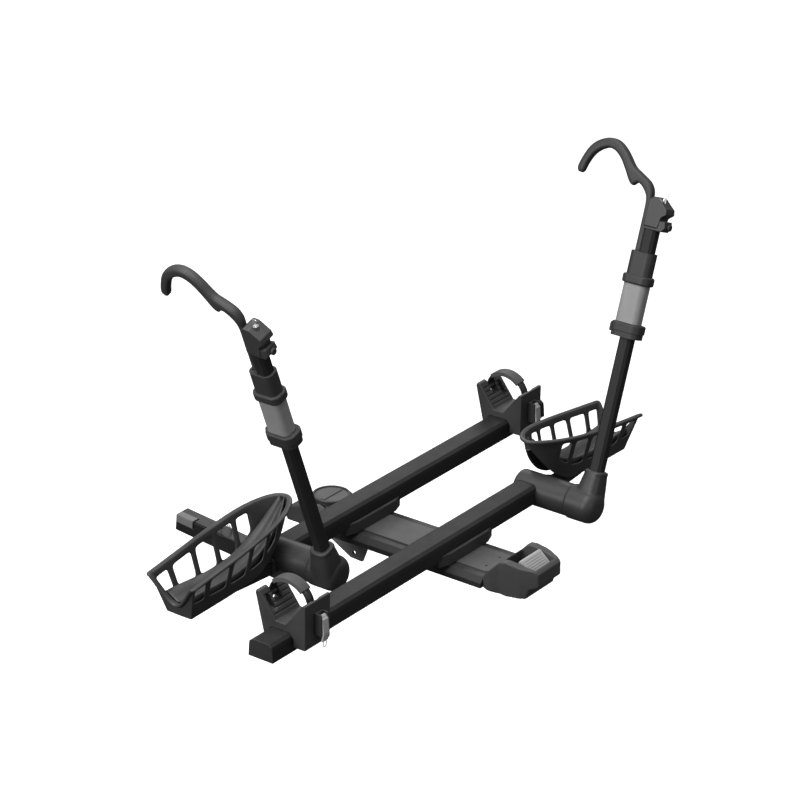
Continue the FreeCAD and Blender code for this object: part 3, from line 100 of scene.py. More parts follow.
def make_studio():
    """A surround that looks evenly white to the camera but lights the rack mostly from above, and four
    soft lamps.
    """
    world = bpy.data.worlds.new("studio")
    world.use_nodes = True
    tree = world.node_tree
    backdrop = tree.nodes["Background"]
    where = tree.nodes.new("ShaderNodeTexCoord")
    split = tree.nodes.new("ShaderNodeSeparateXYZ")
    tree.links.new(where.outputs["Generated"], split.inputs["Vector"])
    sky = remap(tree, split.outputs["Z"], -0.2, 0.9, 0.06, 0.62)
    seen = tree.nodes.new("ShaderNodeLightPath").outputs["Is Camera Ray"]
    tree.links.new(maths(tree, "MAXIMUM", sky, seen), backdrop.inputs["Strength"])
    backdrop.inputs["Color"].default_value = (1.0, 1.0, 1.0, 1.0)
    bpy.context.scene.world = world
    bpy.context.scene.view_settings.view_transform = "Standard"
    make_light("overhead", (-1.4, -0.4, 3.8), (0.0, -0.6, 0.4), 2.6, 105.0)
    make_light("front", (-4.4, 0.6, 1.9), (0.0, -0.6, 0.4), 2.0, 150.0)
    make_light("rear", (-0.6, -5.0, 1.4), (0.0, -0.6, 0.4), 2.0, 14.0)
    make_light("far", (3.4, 2.0, 2.4), (0.0, -0.6, 0.5), 1.6, 22.0)


def make_floor():
    """A flat sheet: z is constant over a grid in x and y."""
    side = np.linspace(-40.0, 40.0, 9)
    x, y = np.meshgrid(side, side, indexing="ij")
    z = np.full_like(x, cad_low.z - FLOOR_DROP)
    floor = surface("floor", np.stack([x, y, z], axis=-1))
    material = bpy.data.materials.new("floor")
    material.use_nodes = True
    shader = material.node_tree.nodes["Principled BSDF"]
    shader.inputs["Base Color"].default_value = (0.92, 0.92, 0.92, 1.0)
    shader.inputs["Roughness"].default_value = 0.9
    shader.inputs["Emission Color"].default_value = (1.0, 1.0, 1.0, 1.0)
    shader.inputs["Emission Strength"].default_value = 0.5
    floor.data.materials.append(material)
    floor.visible_glossy = False
    floor.visible_diffuse = False


# ---- surfaces -----------------------------------------------------------------------------
def quads_of(index):
    """The four-sided faces between neighbouring rows and columns of point numbers."""
    faces = np.stack([index[:-1, :-1], index[1:, :-1], index[1:, 1:], index[:-1, 1:]], axis=-1)
    return faces.reshape(-1, 4)


def surface(name, points, wrap_u=False, wrap_v=False):
    """A sheet of four-sided faces through a grid of points, closed along a direction where asked."""
    rows, columns = points.shape[:2]
    index = np.arange(rows * columns).reshape(rows, columns)
    if wrap_u:
        index = np.concatenate([index, index[:1]], axis=0)
    if wrap_v:
        index = np.concatenate([index, index[:, :1]], axis=1)
    return solid(name, points.reshape(-1, 3), quads_of(index))


def solid(name, points, faces):
    """A mesh object from arrays of points and four-sided faces, smooth shaded."""
    mesh = bpy.data.meshes.new(name)
    mesh.from_pydata(points.tolist(), [], faces.tolist())
    mesh.polygons.foreach_set("use_smooth", np.ones(len(mesh.polygons), bool))
    mesh.update()
    piece = bpy.data.objects.new(name, mesh)
    bpy.context.scene.collection.objects.link(piece)
    return piece


# ---- the rack's own frames ----------------------------------------------------------------
PLATFORM_TILT = math.radians(-5.27)
PLATFORM_BACK = 0.517
PLATFORM_UP = 0.279
BEAM_SPACING = 0.305
ARM_LEAN = math.radians(-20.6)
ARM_X = 0.360
ARM_Y = -0.178
HINGE_Z = 0.018
SIDES = ("inner", "outer")


def from_arm(points):
    """Upright arm coordinates leaned about Y at the hinge, as the platform's."""
    x, y, z = points[..., 0], points[..., 1], points[..., 2]
    across = x * math.cos(ARM_LEAN) + z * math.sin(ARM_LEAN) - ARM_X
    return np.stack([across, y + ARM_Y, z * math.cos(ARM_LEAN) - x * math.sin(ARM_LEAN)], axis=-1)


def from_platform(points):
    """Platform coordinates turned about X by its tilt and moved back and up."""
    x, y, z = points[..., 0], points[..., 1], points[..., 2]
    back = y * math.cos(PLATFORM_TILT) - z * math.sin(PLATFORM_TILT) - PLATFORM_BACK
    up = y * math.sin(PLATFORM_TILT) + z * math.cos(PLATFORM_TILT) + PLATFORM_UP
    return np.stack([x, back, up], axis=-1)


def on_side(points, side):
    """The inner carrier's grid as it is; mirrored in X, moved back and reversed for the outer one."""
    if side == "outer":
        points = points * np.array([-1.0, 1.0, 1.0]) + np.array([0.0, -BEAM_SPACING, 0.0])
        points = points[:, ::-1]
    return from_platform(points)


# ---- curves -------------------------------------------------------------------------------
def spline(points, count):
    """An open Catmull-Rom curve through points, evenly spread in parameter, as a (count, n) array."""
    last = len(points) - 1
    place = np.linspace(0.0, last, count)
    first = np.minimum(place.astype(int), last - 1)
    t = (place - first)[:, None]
    padded = np.concatenate([[2 * points[0] - points[1]], points, [2 * points[-1] - points[-2]]])
    a, b, c, d = [padded[first + step] for step in range(4)]
    bend = (2 * a - 5 * b + 4 * c - d) * t ** 2 + (3 * b - a - 3 * c + d) * t ** 3
    return 0.5 * (2 * b + (c - a) * t + bend)


def rounded_square(count, power):
    """Points round a unit superellipse: cosine and sine raised to 2 / power, with their signs kept."""
    angle = np.linspace(0.0, 2 * math.pi, count, endpoint=False)
    circle = np.stack([np.cos(angle), np.sin(angle)], axis=-1)
    return np.sign(circle) * np.abs(circle) ** (2 / power)


def capped(name, grid):
    """A closed skin: rows of closed rings, with a fan of faces over the first and last rings."""
    rows, columns = grid.shape[:2]
    index = np.arange(rows * columns).reshape(rows, columns)
    index = np.concatenate([index, index[:, :1]], axis=1)
    points = np.concatenate([grid.reshape(-1, 3), grid[:1].mean(axis=1), grid[-1:].mean(axis=1)])
    low, high = rows * columns, rows * columns + 1
    start = np.stack([index[0, :-1], index[0, 1:], np.full(columns, low)], axis=-1)
    end = np.stack([index[-1, 1:], index[-1, :-1], np.full(columns, high)], axis=-1)
    mesh = bpy.data.meshes.new(name)
    mesh.from_pydata(points.tolist(), [], quads_of(index).tolist() + start.tolist() + end.tolist())
    return outward(name, mesh)


def outward(name, mesh):
    """Turns a closed mesh's faces outwards and links it as a smooth object."""
    shell = bmesh.new()
    shell.from_mesh(mesh)
    bmesh.ops.recalc_face_normals(shell, faces=shell.faces)
    shell.to_mesh(mesh)
    shell.free()
    mesh.polygons.foreach_set("use_smooth", np.ones(len(mesh.polygons), bool))
    mesh.update()
    piece = bpy.data.objects.new(name, mesh)
    bpy.context.scene.collection.objects.link(piece)
    return piece


def settle(piece):
    """Applies a piece's modifiers to its mesh."""
    graph = bpy.context.evaluated_depsgraph_get()
    done = bpy.data.meshes.new_from_object(piece.evaluated_get(graph))
    piece.modifiers.clear()
    piece.data = done
    piece.data.polygons.foreach_set("use_smooth", np.ones(len(done.polygons), bool))
    return piece


def soften(piece, voxel, rounds):
    """Rebuilds a closed mesh on a fine lattice and relaxes it, so its creases become small radii."""
    lattice = piece.modifiers.new("lattice", "REMESH")
    lattice.mode = "VOXEL"
    lattice.voxel_size = voxel
    relax = piece.modifiers.new("relax", "SMOOTH")
    relax.factor = 0.5
    relax.iterations = rounds
    return settle(piece)


def fit(piece, body, slot, *nodes, finish_name=None):
    """Gives a new piece its finish, its body and the nodes it stands for."""
    piece.data.materials.clear()
    piece.data.materials.append(FINISHES[finish_name or slot])
    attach(piece, body)
    if nodes:
        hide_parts(*nodes)
    return piece


def softened_copy(node, voxel, rounds):
    """A node's own shape with its edges rounded, in its place."""
    source = frame["nodes"][node]
    mesh = source.data.copy()
    shell = bmesh.new()
    shell.from_mesh(mesh)
    bmesh.ops.remove_doubles(shell, verts=shell.verts, dist=1e-6)
    shell.to_mesh(mesh)
    shell.free()
    piece = bpy.data.objects.new(node + "_moulding", mesh)
    bpy.context.scene.collection.objects.link(piece)
    return soften(piece, voxel, rounds)


# ---- wheel tray ---------------------------------------------------------------------------
# Each row: x, lean, underside z, half width there, rim z, half width there, floor's edge z, middle z.
TRAY_TABLE = np.array([
    (-0.750, 0.026, 0.000, 0.040, 0.108, 0.072, 0.046, 0.030),
    (-0.600, 0.000, 0.004, 0.040, 0.132, 0.074, 0.040, 0.022),
    (-0.490, 0.000, 0.012, 0.038, 0.148, 0.070, 0.050, 0.030),
    (-0.430, 0.000, 0.038, 0.033, 0.158, 0.062, 0.082, 0.062),
    (-0.378, 0.000, 0.084, 0.026, 0.166, 0.047, 0.124, 0.106),
    (-0.342, 0.000, 0.128, 0.014, 0.171, 0.027, 0.152, 0.142),
    (-0.328, 0.000, 0.148, 0.007, 0.172, 0.012, 0.163, 0.160),
])
TRAY_WINDOWS = ((-0.741, -0.706), (-0.687, -0.627), (-0.608, -0.548), (-0.528, -0.474),
                (-0.456, -0.420))
TRAY_SKIN = 0.0065
RIM_BAND = 0.019         # the wall above a window
WINDOW_SILL = 0.004      # from the floor's edge up to a window's foot
CORNER_SHARE = 0.24      # the part of a window's side that its rounded corner takes
RIM_INSET = 0.0022       # the bead's middle, inside and below the basket's top line
RIM_DROP = 0.0025
RIM_HALF_WIDTH = 0.0058
RIM_HALF_DEPTH = 0.0042
RAMP_FROM = -0.753
RAMP_TO = -0.340
RAMP_EDGE_RISE = 0.014   # the raised floor above the tray's own floor
RAMP_MIDDLE_RISE = 0.012
RAMP_INSET = 0.018       # from the wall to the raised floor's edge
RAMP_SKIRT = 0.040
RAMP_THICKNESS = 0.003
# Across and up as shares of half the width and of the height, from one rim down to the middle.
NOTCH = ((1.0, 1.0), (0.93, 0.985), (0.72, 0.70), (0.40, 0.42), (0.10, 0.33))


def tray_values(x):
    """The tray table's columns at any x, by a shape-keeping cubic between its rows."""
    known = TRAY_TABLE[:, 0]
    step = np.diff(known)[:, None]
    rise = np.diff(TRAY_TABLE, axis=0) / step
    inner = 2 * rise[:-1] * rise[1:] / (rise[:-1] + rise[1:] + 1e-12)
    inner = np.where(rise[:-1] * rise[1:] > 0, inner, 0.0)
    slope = np.concatenate([rise[:1], inner, rise[-1:]])
    at = np.clip(np.searchsorted(known, x, side="right") - 1, 0, len(known) - 2)
    width = step[at]
    t = (np.asarray(x)[:, None] - known[at][:, None]) / width
    low, high = TRAY_TABLE[at], TRAY_TABLE[at + 1]
    return ((1 + 2 * t) * (1 - t) ** 2 * low + t * (1 - t) ** 2 * width * slope[at]
            + t ** 2 * (3 - 2 * t) * high + t ** 2 * (t - 1) * width * slope[at + 1])


def tray_stations():
    """The x of each upright line of the tray's cage, and the spans of lines inside a window."""
    stations = [-0.750, -0.7465]
    spans = []
    for left, right in TRAY_WINDOWS:
        inside = (right - left) * CORNER_SHARE
        spans.append((len(stations), len(stations) + 3))
        stations += [left, left + inside, right - inside, right]
    return np.array(stations + [-0.400, -0.378, -0.356, -0.340, -0.330]), spans


def tray_levels(values):
    """The heights of the cage's level lines at each station, from the rim down to the underside."""
    low, rim, edge = values[:, 2], values[:, 4], values[:, 6]
    top = rim - RIM_BAND
    foot = np.minimum(edge + WINDOW_SILL, top - 0.010)
    corner = CORNER_SHARE * (top - foot)
    return np.stack([rim, rim - 0.006, top, top - corner, foot + corner, foot,
                     (foot + low) / 2, low + 0.004, low], axis=1)


def tray_cage():
    """The basket's wall as one ring of quads: along a side, round the nose, back, across the end."""
    stations, spans = tray_stations()
    values = tray_values(stations)
    level = tray_levels(values)
    low, rim = values[:, 2:3], values[:, 4:5]
    share = (level - low) / (rim - low)
    half = values[:, 3:4] + (values[:, 5:6] - values[:, 3:4]) * share
    x = values[:, 0:1] - values[:, 1:2] * share
    near = np.stack([x, half, level], axis=-1)
    nose = near[-1:] * np.array([1.0, 0.0, 1.0]) + np.array([0.006, 0.0, 0.0])
    far = near[::-1] * np.array([1.0, -1.0, 1.0])
    end = []
    for sign, picks in ((-1.0, NOTCH[1:]), (1.0, NOTCH[:0:-1])):
        for across, height in picks:
            z = low[0] + (level[0] - low[0]) * height
            part = (z - low[0]) / (rim[0] - low[0])
            wide = values[0, 3] + (values[0, 5] - values[0, 3]) * part
            lean = values[0, 1] * part
            end.append(np.stack([values[0, 0] - lean, sign * across * wide, z], axis=-1))
    ring = np.concatenate([near, nose, far, np.array(end)])
    total = len(ring)
    count = len(stations)
    keep = np.ones((total, ring.shape[1] - 1), bool)
    for first, last in spans:
        keep[first:last, 2:5] = False
        mirrored_first = 2 * count - last
        keep[mirrored_first:mirrored_first + (last - first), 2:5] = False
    return ring, keep


def make_tray(side):
    """The basket's skin: the cage with its windows open, given a wall and rounded by subdivision."""
    ring, keep = tray_cage()
    rows, columns = ring.shape[:2]
    index = np.arange(rows * columns).reshape(rows, columns)
    index = np.concatenate([index, index[:1]], axis=0)
    faces = np.stack([index[:-1, :-1], index[1:, :-1], index[1:, 1:], index[:-1, 1:]], axis=-1)
    faces = faces[keep]
    if side == "outer":
        faces = faces[:, ::-1]
        ring = ring * np.array([-1.0, 1.0, 1.0]) + np.array([0.0, -BEAM_SPACING, 0.0])
    skin = solid(side + "_tray_skin", from_platform(ring).reshape(-1, 3), faces)
    wall = skin.modifiers.new("wall", "SOLIDIFY")
    wall.thickness = TRAY_SKIN
    wall.offset = -1.0
    round_off = skin.modifiers.new("round", "SUBSURF")
    round_off.levels = 2
    round_off.render_levels = 2
    settle(skin)
    fit(skin, side + "_carrier", "tray_plastic", side + "_wheel_tray")


def smooth_ring(points, count):
    """A closed uniform cubic B-spline of its control points."""
    place = np.linspace(0.0, len(points), count, endpoint=False)
    first = place.astype(int)
    t = (place - first)[:, None]
    a, b, c, d = [points[(first + step) % len(points)] for step in (-1, 0, 1, 2)]
    return ((1 - t) ** 3 * a + (3 * t ** 3 - 6 * t ** 2 + 4) * b
            + (1 + 3 * t + 3 * t ** 2 - 3 * t ** 3) * c + t ** 3 * d) / 6


def make_tray_rim(side):
    """A flattened round bead carried along the basket's top line, by its outward and upward widths."""
    path = smooth_ring(tray_cage()[0][:, 0], 520)
    along = np.roll(path, -1, axis=0) - np.roll(path, 1, axis=0)
    along /= np.linalg.norm(along, axis=1)[:, None]
    out = np.cross(along, np.array([0.0, 0.0, 1.0]))
    out /= np.linalg.norm(out, axis=1)[:, None]
    up = np.cross(out, along)
    round_points = rounded_square(14, 2.6)
    grid = (path[:, None] + (RIM_HALF_WIDTH * round_points[None, :, :1] - RIM_INSET) * out[:, None]
            + (RIM_HALF_DEPTH * round_points[None, :, 1:] - RIM_DROP) * up[:, None])
    rim = surface(side + "_tray_rim", on_side(grid, side), wrap_u=True, wrap_v=True)
    fit(rim, side + "_carrier", "tray_plastic", finish_name="tray_rim")


def make_tray_ramp(side):
    """The raised floor: a shallow V across with square shoulders, carried along the tray."""
    x = np.linspace(RAMP_FROM, RAMP_TO, 60)
    values = tray_values(np.clip(x, TRAY_TABLE[0, 0], None))
    even = [np.polyval(np.polyfit(x, values[:, column], 3), x) for column in (6, 7)]
    edge, middle, low = even[0] + RAMP_EDGE_RISE, even[1] + RAMP_MIDDLE_RISE, values[:, 2]
    share = (edge - low) / (values[:, 4] - low)
    half = values[:, 3] + (values[:, 5] - values[:, 3]) * share - RAMP_INSET
    skirt = np.maximum(edge - RAMP_SKIRT, low + 0.004)
    slope = middle * 0.6 + edge * 0.4
    half_section = [(1.0, skirt), (1.0, edge - 0.006), (0.985, edge - 0.0015), (0.94, edge),
                    (0.42, slope), (0.10, middle)]
    section = [(-across, z) for across, z in half_section] + half_section[::-1]
    grid = np.stack([np.stack([x, across * half, z], axis=-1) for across, z in section], axis=1)
    ramp = surface(side + "_tray_ramp", on_side(grid, side))
    wall = ramp.modifiers.new("wall", "SOLIDIFY")
    wall.thickness = RAMP_THICKNESS
    wall.offset = 0.0
    settle(ramp)
    fit(ramp, side + "_carrier", "tray_plastic")


# ---- arm ----------------------------------------------------------------------------------
# Each row: outer edge's y and z, inner edge's y and z, half width.
HOOK_TABLE = np.array([
    (0.0190, 0.668, 0.0368, 0.668, 0.0078), (0.0190, 0.740, 0.0368, 0.740, 0.0078),
    (0.0190, 0.812, 0.0368, 0.810, 0.0080), (0.0190, 0.850, 0.0370, 0.842, 0.0102),
    (0.0220, 0.874, 0.0410, 0.860, 0.0125), (0.0340, 0.893, 0.0550, 0.877, 0.0135),
    (0.0560, 0.907, 0.0700, 0.886, 0.0135), (0.0750, 0.917, 0.0800, 0.882, 0.0135),
    (0.0880, 0.924, 0.0880, 0.876, 0.0135), (0.1010, 0.936, 0.1000, 0.884, 0.0135),
    (0.1200, 0.957, 0.1180, 0.910, 0.0135), (0.1400, 0.974, 0.1400, 0.938, 0.0135),
    (0.1600, 0.984, 0.1620, 0.954, 0.0135), (0.1820, 0.986, 0.1820, 0.958, 0.0135),
    (0.2050, 0.980, 0.2020, 0.951, 0.0135), (0.2280, 0.966, 0.2180, 0.939, 0.0135),
    (0.2450, 0.946, 0.2290, 0.925, 0.0132), (0.2580, 0.918, 0.2380, 0.906, 0.0126),
    (0.2650, 0.897, 0.2420, 0.893, 0.0118), (0.2655, 0.886, 0.2450, 0.883, 0.0102),
    (0.2620, 0.8785, 0.2500, 0.8770, 0.0070),
])


def make_hook(side):
    """The wheel hook: a rounded-square section carried between its outer and inner edge lines."""
    table = spline(HOOK_TABLE, 190)
    outer = np.stack([np.zeros(len(table)), table[:, 0], table[:, 1]], axis=-1)
    inner = np.stack([np.zeros(len(table)), table[:, 2], table[:, 3]], axis=-1)
    middle, reach = (outer + inner) / 2, (outer - inner) / 2
    ring = rounded_square(40, 3.0)
    across = np.array([1.0, 0.0, 0.0])
    groove = 1.0 - 0.05 * np.exp(-((ring[:, 1] - 0.12) / 0.10) ** 2) * (np.abs(ring[:, 0]) > 0.9)
    grid = (middle[:, None] + reach[:, None] * ring[None, :, 1:]
            + across * (table[:, 4:5] * ring[None, :, 0] * groove[None])[..., None])
    hook = capped(side + "_hook_skin", on_side(from_arm(grid), side))
    fit(hook, side + "_grip", "hook_rubber", side + "_wheel_hook")


HUB_R = 0.048
HUB_FRONT = 0.051
HUB_REAR = 0.036
DOME_START = 0.006        # where the hub's rear dome begins, behind the arm's plane
COLLAR_AT = 0.113


def make_elbow(side):
    """The elbow: a round hub with a domed end, blended into a neck that narrows to the collar."""
    hinge_x, hinge_z = HINGE_Z * math.sin(-ARM_LEAN), HINGE_Z * math.cos(ARM_LEAN)
    dome = np.linspace(0.0, math.pi / 2, 16)
    y = np.concatenate([[HUB_FRONT - 0.0005, HUB_FRONT - 0.002], np.linspace(0.046, -DOME_START, 14),
                        -DOME_START - (HUB_REAR - DOME_START) * np.sin(dome[1:])])
    r = np.concatenate([[HUB_R - 0.0015, HUB_R - 0.0002], np.full(14, HUB_R),
                        0.004 + (HUB_R - 0.004) * np.cos(dome[1:]) ** 0.62])
    angle = np.linspace(0.0, 2 * math.pi, 72, endpoint=False)
    hub = np.stack([hinge_x + r[:, None] * np.cos(angle), np.repeat(y[:, None], 72, axis=1),
                    hinge_z + r[:, None] * np.sin(angle)], axis=-1)
    shares = np.linspace(0.0, 1.0, 30)
    ease = shares ** 0.85 * (1.0 - 0.10 * np.sin(math.pi * shares))
    z = hinge_z - 0.010 + (COLLAR_AT - hinge_z + 0.010) * shares
    half_x = 0.0455 + (0.0262 - 0.0455) * ease
    rear = -0.034 + (-0.0262 + 0.034) * ease
    front = 0.0470 + (0.0262 - 0.0470) * ease
    ring = rounded_square(72, 3.2)
    middle_y, half_y = (front + rear)[:, None] / 2, (front - rear)[:, None] / 2
    neck = np.stack([half_x[:, None] * ring[:, 0], middle_y + half_y * ring[:, 1],
                     np.repeat(z[:, None], 72, axis=1)], axis=-1)
    lip = neck[-4:].copy()
    lip[:, :, :2] *= 1.05
    lip[:, :, 2] = COLLAR_AT - np.array([0.011, 0.0085, 0.003, 0.0005])[:, None]
    lip[0, :, :2] /= 1.05
    lip[-1, :, :2] /= 1.03
    parts = [capped(side + "_elbow_" + str(number), on_side(from_arm(grid), side))
             for number, grid in enumerate((hub, neck, lip))]
    elbow = joined(side + "_elbow", parts)
    soften(elbow, 0.0017, 9)
    fit(elbow, side + "_arm", "cast_black", side + "_arm_hub")


def joined(name, parts):
    """Several meshes as one object, without a Boolean."""
    shell = bmesh.new()
    for part in parts:
        shell.from_mesh(part.data)
    mesh = bpy.data.meshes.new(name)
    shell.to_mesh(mesh)
    shell.free()
    for part in parts:
        bpy.data.objects.remove(part)
    piece = bpy.data.objects.new(name, mesh)
    bpy.context.scene.collection.objects.link(piece)
    return piece


# ---- strap --------------------------------------------------------------------------------
CRADLE_X = 0.673
STRAP_LINE = np.array([(0.064, 0.119), (0.061, 0.136), (0.050, 0.152), (0.030, 0.163), (0.006, 0.167),
                       (-0.018, 0.162), (-0.040, 0.148), (-0.054, 0.126), (-0.058, 0.100)])
TOOTH_PITCH = 0.0046
TOOTH_HALF = 0.0088      # half the width of the toothed band


def make_strap_teeth(side):
    """Ratchet teeth: the strap's outer line lifted by a saw-tooth of its length, inside its edges."""
    line = spline(STRAP_LINE, 420)
    along = np.gradient(line, axis=0)
    along /= np.linalg.norm(along, axis=1)[:, None]
    out = np.stack([-along[:, 1], along[:, 0]], axis=-1)
    out *= np.sign(out[210, 1])
    length = np.concatenate([[0.0], np.cumsum(np.linalg.norm(np.diff(line, axis=0), axis=1))])
    tooth = (length / TOOTH_PITCH) % 1.0
    lift = 0.0018 + 0.0013 * np.clip(tooth * 1.25, 0.0, 1.0) * (tooth < 0.96)
    half = TOOTH_HALF
    rows = []
    inset = half - 0.0006
    for across, raised in ((-half, 0.0012), (-inset, None), (inset, None), (half, 0.0012)):
        height = lift if raised is None else np.full_like(lift, raised)
        point = line + out * height[:, None]
        rows.append(np.insert(point, 0, CRADLE_X + across, axis=1))
    grid = np.stack(rows, axis=1)[40:-24]
    teeth = surface(side + "_strap_teeth", on_side(grid, side))
    fit(teeth, side + "_tyre_strap", "strap_plastic")


# ---- shader groups ------------------------------------------------------------------------
def new_group(name, inputs, outputs):
    """An empty shader group with named number, colour or vector sockets."""
    tree = bpy.data.node_groups.new(name, "ShaderNodeTree")
    for label, kind, value in inputs:
        socket = tree.interface.new_socket(name=label, in_out="INPUT", socket_type="NodeSocket" + kind)
        socket.default_value = value
    for label, kind in outputs:
        tree.interface.new_socket(name=label, in_out="OUTPUT", socket_type="NodeSocket" + kind)
    return tree, tree.nodes.new("NodeGroupInput").outputs, tree.nodes.new("NodeGroupOutput").inputs


def noise(tree, vector, scale, detail=3.0, rough=0.6):
    """A noise texture's value on given coordinates; scale is a socket or a number."""
    node = tree.nodes.new("ShaderNodeTexNoise")
    node.inputs["Detail"].default_value = detail
    node.inputs["Roughness"].default_value = rough
    tree.links.new(vector, node.inputs["Vector"])
    put(tree, scale, node.inputs["Scale"])
    return node.outputs["Fac"]


def put(tree, value, socket):
    """Links a socket, or sets a constant."""
    if isinstance(value, bpy.types.NodeSocket):
        tree.links.new(value, socket)
    else:
        socket.default_value = value


def maths(tree, kind, first, second=0.0, third=0.0, clamp=False):
    """One Math node."""
    node = tree.nodes.new("ShaderNodeMath")
    node.operation = kind
    node.use_clamp = clamp
    for place, value in enumerate((first, second, third)):
        put(tree, value, node.inputs[place])
    return node.outputs[0]


def remap(tree, value, low, high, new_low, new_high):
    """Carries one range of values to another, and clamps it."""
    node = tree.nodes.new("ShaderNodeMapRange")
    ends = {"From Min": low, "From Max": high, "To Min": new_low, "To Max": new_high}
    for label, number in ends.items():
        put(tree, number, node.inputs[label])
    tree.links.new(value, node.inputs["Value"])
    return node.outputs["Result"]


def blend_colour(tree, factor, first, second):
    """Mixes two colours by a mask."""
    node = tree.nodes.new("ShaderNodeMix")
    node.data_type = "RGBA"
    colours = [socket for socket in node.inputs if socket.type == "RGBA"]
    put(tree, factor, node.inputs[0])
    put(tree, first, colours[0])
    put(tree, second, colours[1])
    return [socket for socket in node.outputs if socket.type == "RGBA"][0]


def edge_group():
    """Rounded edges: the Bevel normal, and a mask of how far it turns from the true one."""
    tree, given, result = new_group(
        "rounded_edge",
        [("Radius", "Float", 0.001), ("Reach", "Float", 0.35)],
        [("Normal", "Vector"), ("Edge", "Float")])
    bevel = tree.nodes.new("ShaderNodeBevel")
    bevel.samples = 6
    tree.links.new(given["Radius"], bevel.inputs["Radius"])
    true_side = tree.nodes.new("ShaderNodeNewGeometry")
    dot = tree.nodes.new("ShaderNodeVectorMath")
    dot.operation = "DOT_PRODUCT"
    tree.links.new(bevel.outputs["Normal"], dot.inputs[0])
    tree.links.new(true_side.outputs["Normal"], dot.inputs[1])
    turned = maths(tree, "SUBTRACT", 1.0, dot.outputs["Value"])
    tree.links.new(remap(tree, turned, 0.02, given["Reach"], 0.0, 1.0), result["Edge"])
    tree.links.new(bevel.outputs["Normal"], result["Normal"])
    return tree


def grain_group():
    """Fine moulded or coated grain: a height, a slow tone and a roughness that varies by patches."""
    tree, given, result = new_group(
        "fine_grain",
        [("Vector", "Vector", (0.0, 0.0, 0.0)), ("Grain", "Float", 900.0), ("Patches", "Float", 9.0),
         ("Smooth", "Float", 0.4), ("Dull", "Float", 0.55)],
        [("Height", "Float"), ("Tone", "Float"), ("Roughness", "Float")])
    fine = noise(tree, given["Vector"], given["Grain"], 2.0, 0.55)
    coarse = noise(tree, given["Vector"], maths(tree, "MULTIPLY", given["Grain"], 0.31), 2.0, 0.5)
    height = maths(tree, "MULTIPLY_ADD", coarse, 0.6, fine)
    tree.links.new(height, result["Height"])
    slow = noise(tree, given["Vector"], given["Patches"], 4.0, 0.6)
    tree.links.new(remap(tree, slow, 0.3, 0.7, 0.0, 1.0), result["Tone"])
    mixed = maths(tree, "MULTIPLY_ADD", fine, 0.35, maths(tree, "MULTIPLY", slow, 0.65))
    tree.links.new(remap(tree, mixed, 0.32, 0.68, given["Smooth"], given["Dull"]), result["Roughness"])
    return tree


def dust_and_highlight_group():
    """Painted edge highlight and dust: edges painted pale, broken up by noise, and dust greys what
    faces up.
    """
    tree, given, result = new_group(
        "dust_and_edge_highlight",
        [("Vector", "Vector", (0.0, 0.0, 0.0)), ("Colour", "Color", (0.1, 0.1, 0.1, 1.0)),
         ("Rubbed", "Color", (0.3, 0.3, 0.3, 1.0)), ("Edge", "Float", 0.0), ("Wear", "Float", 0.5),
         ("Dust", "Float", 0.1)],
        [("Colour", "Color"), ("Mask", "Float")])
    # Painted highlight: where the Edge mask runs, edges are painted the pale tone, broken up by noise.
    broken = remap(tree, noise(tree, given["Vector"], 60.0, 5.0, 0.7), 0.35, 0.65, 0.25, 1.0)
    highlit_edge = maths(tree, "MULTIPLY", given["Edge"], broken)
    mask = maths(tree, "MULTIPLY", highlit_edge, given["Wear"], clamp=True)
    side = tree.nodes.new("ShaderNodeNewGeometry")
    parts = tree.nodes.new("ShaderNodeSeparateXYZ")
    tree.links.new(side.outputs["Normal"], parts.inputs["Vector"])
    upward = remap(tree, parts.outputs["Z"], 0.55, 1.0, 0.0, 1.0)
    settled = remap(tree, noise(tree, given["Vector"], 14.0, 6.0, 0.65), 0.35, 0.75, 0.2, 1.0)
    dust = maths(tree, "MULTIPLY", maths(tree, "MULTIPLY", upward, settled), given["Dust"], clamp=True)
    dusty = blend_colour(tree, dust, given["Colour"], (0.36, 0.36, 0.36, 1.0))
    # The painted edge highlight goes over the dust-greyed colour.
    tree.links.new(blend_colour(tree, mask, dusty, given["Rubbed"]), result["Colour"])
    tree.links.new(mask, result["Mask"])
    return tree


def use_group(tree, group, **values):
    """Places a group in a material with its own values."""
    node = tree.nodes.new("ShaderNodeGroup")
    node.node_tree = group
    for label, value in values.items():
        put(tree, value, node.inputs[label])
    return node.outputs


def grey(level):
    """An opaque neutral colour."""
    return (level, level, level, 1.0)


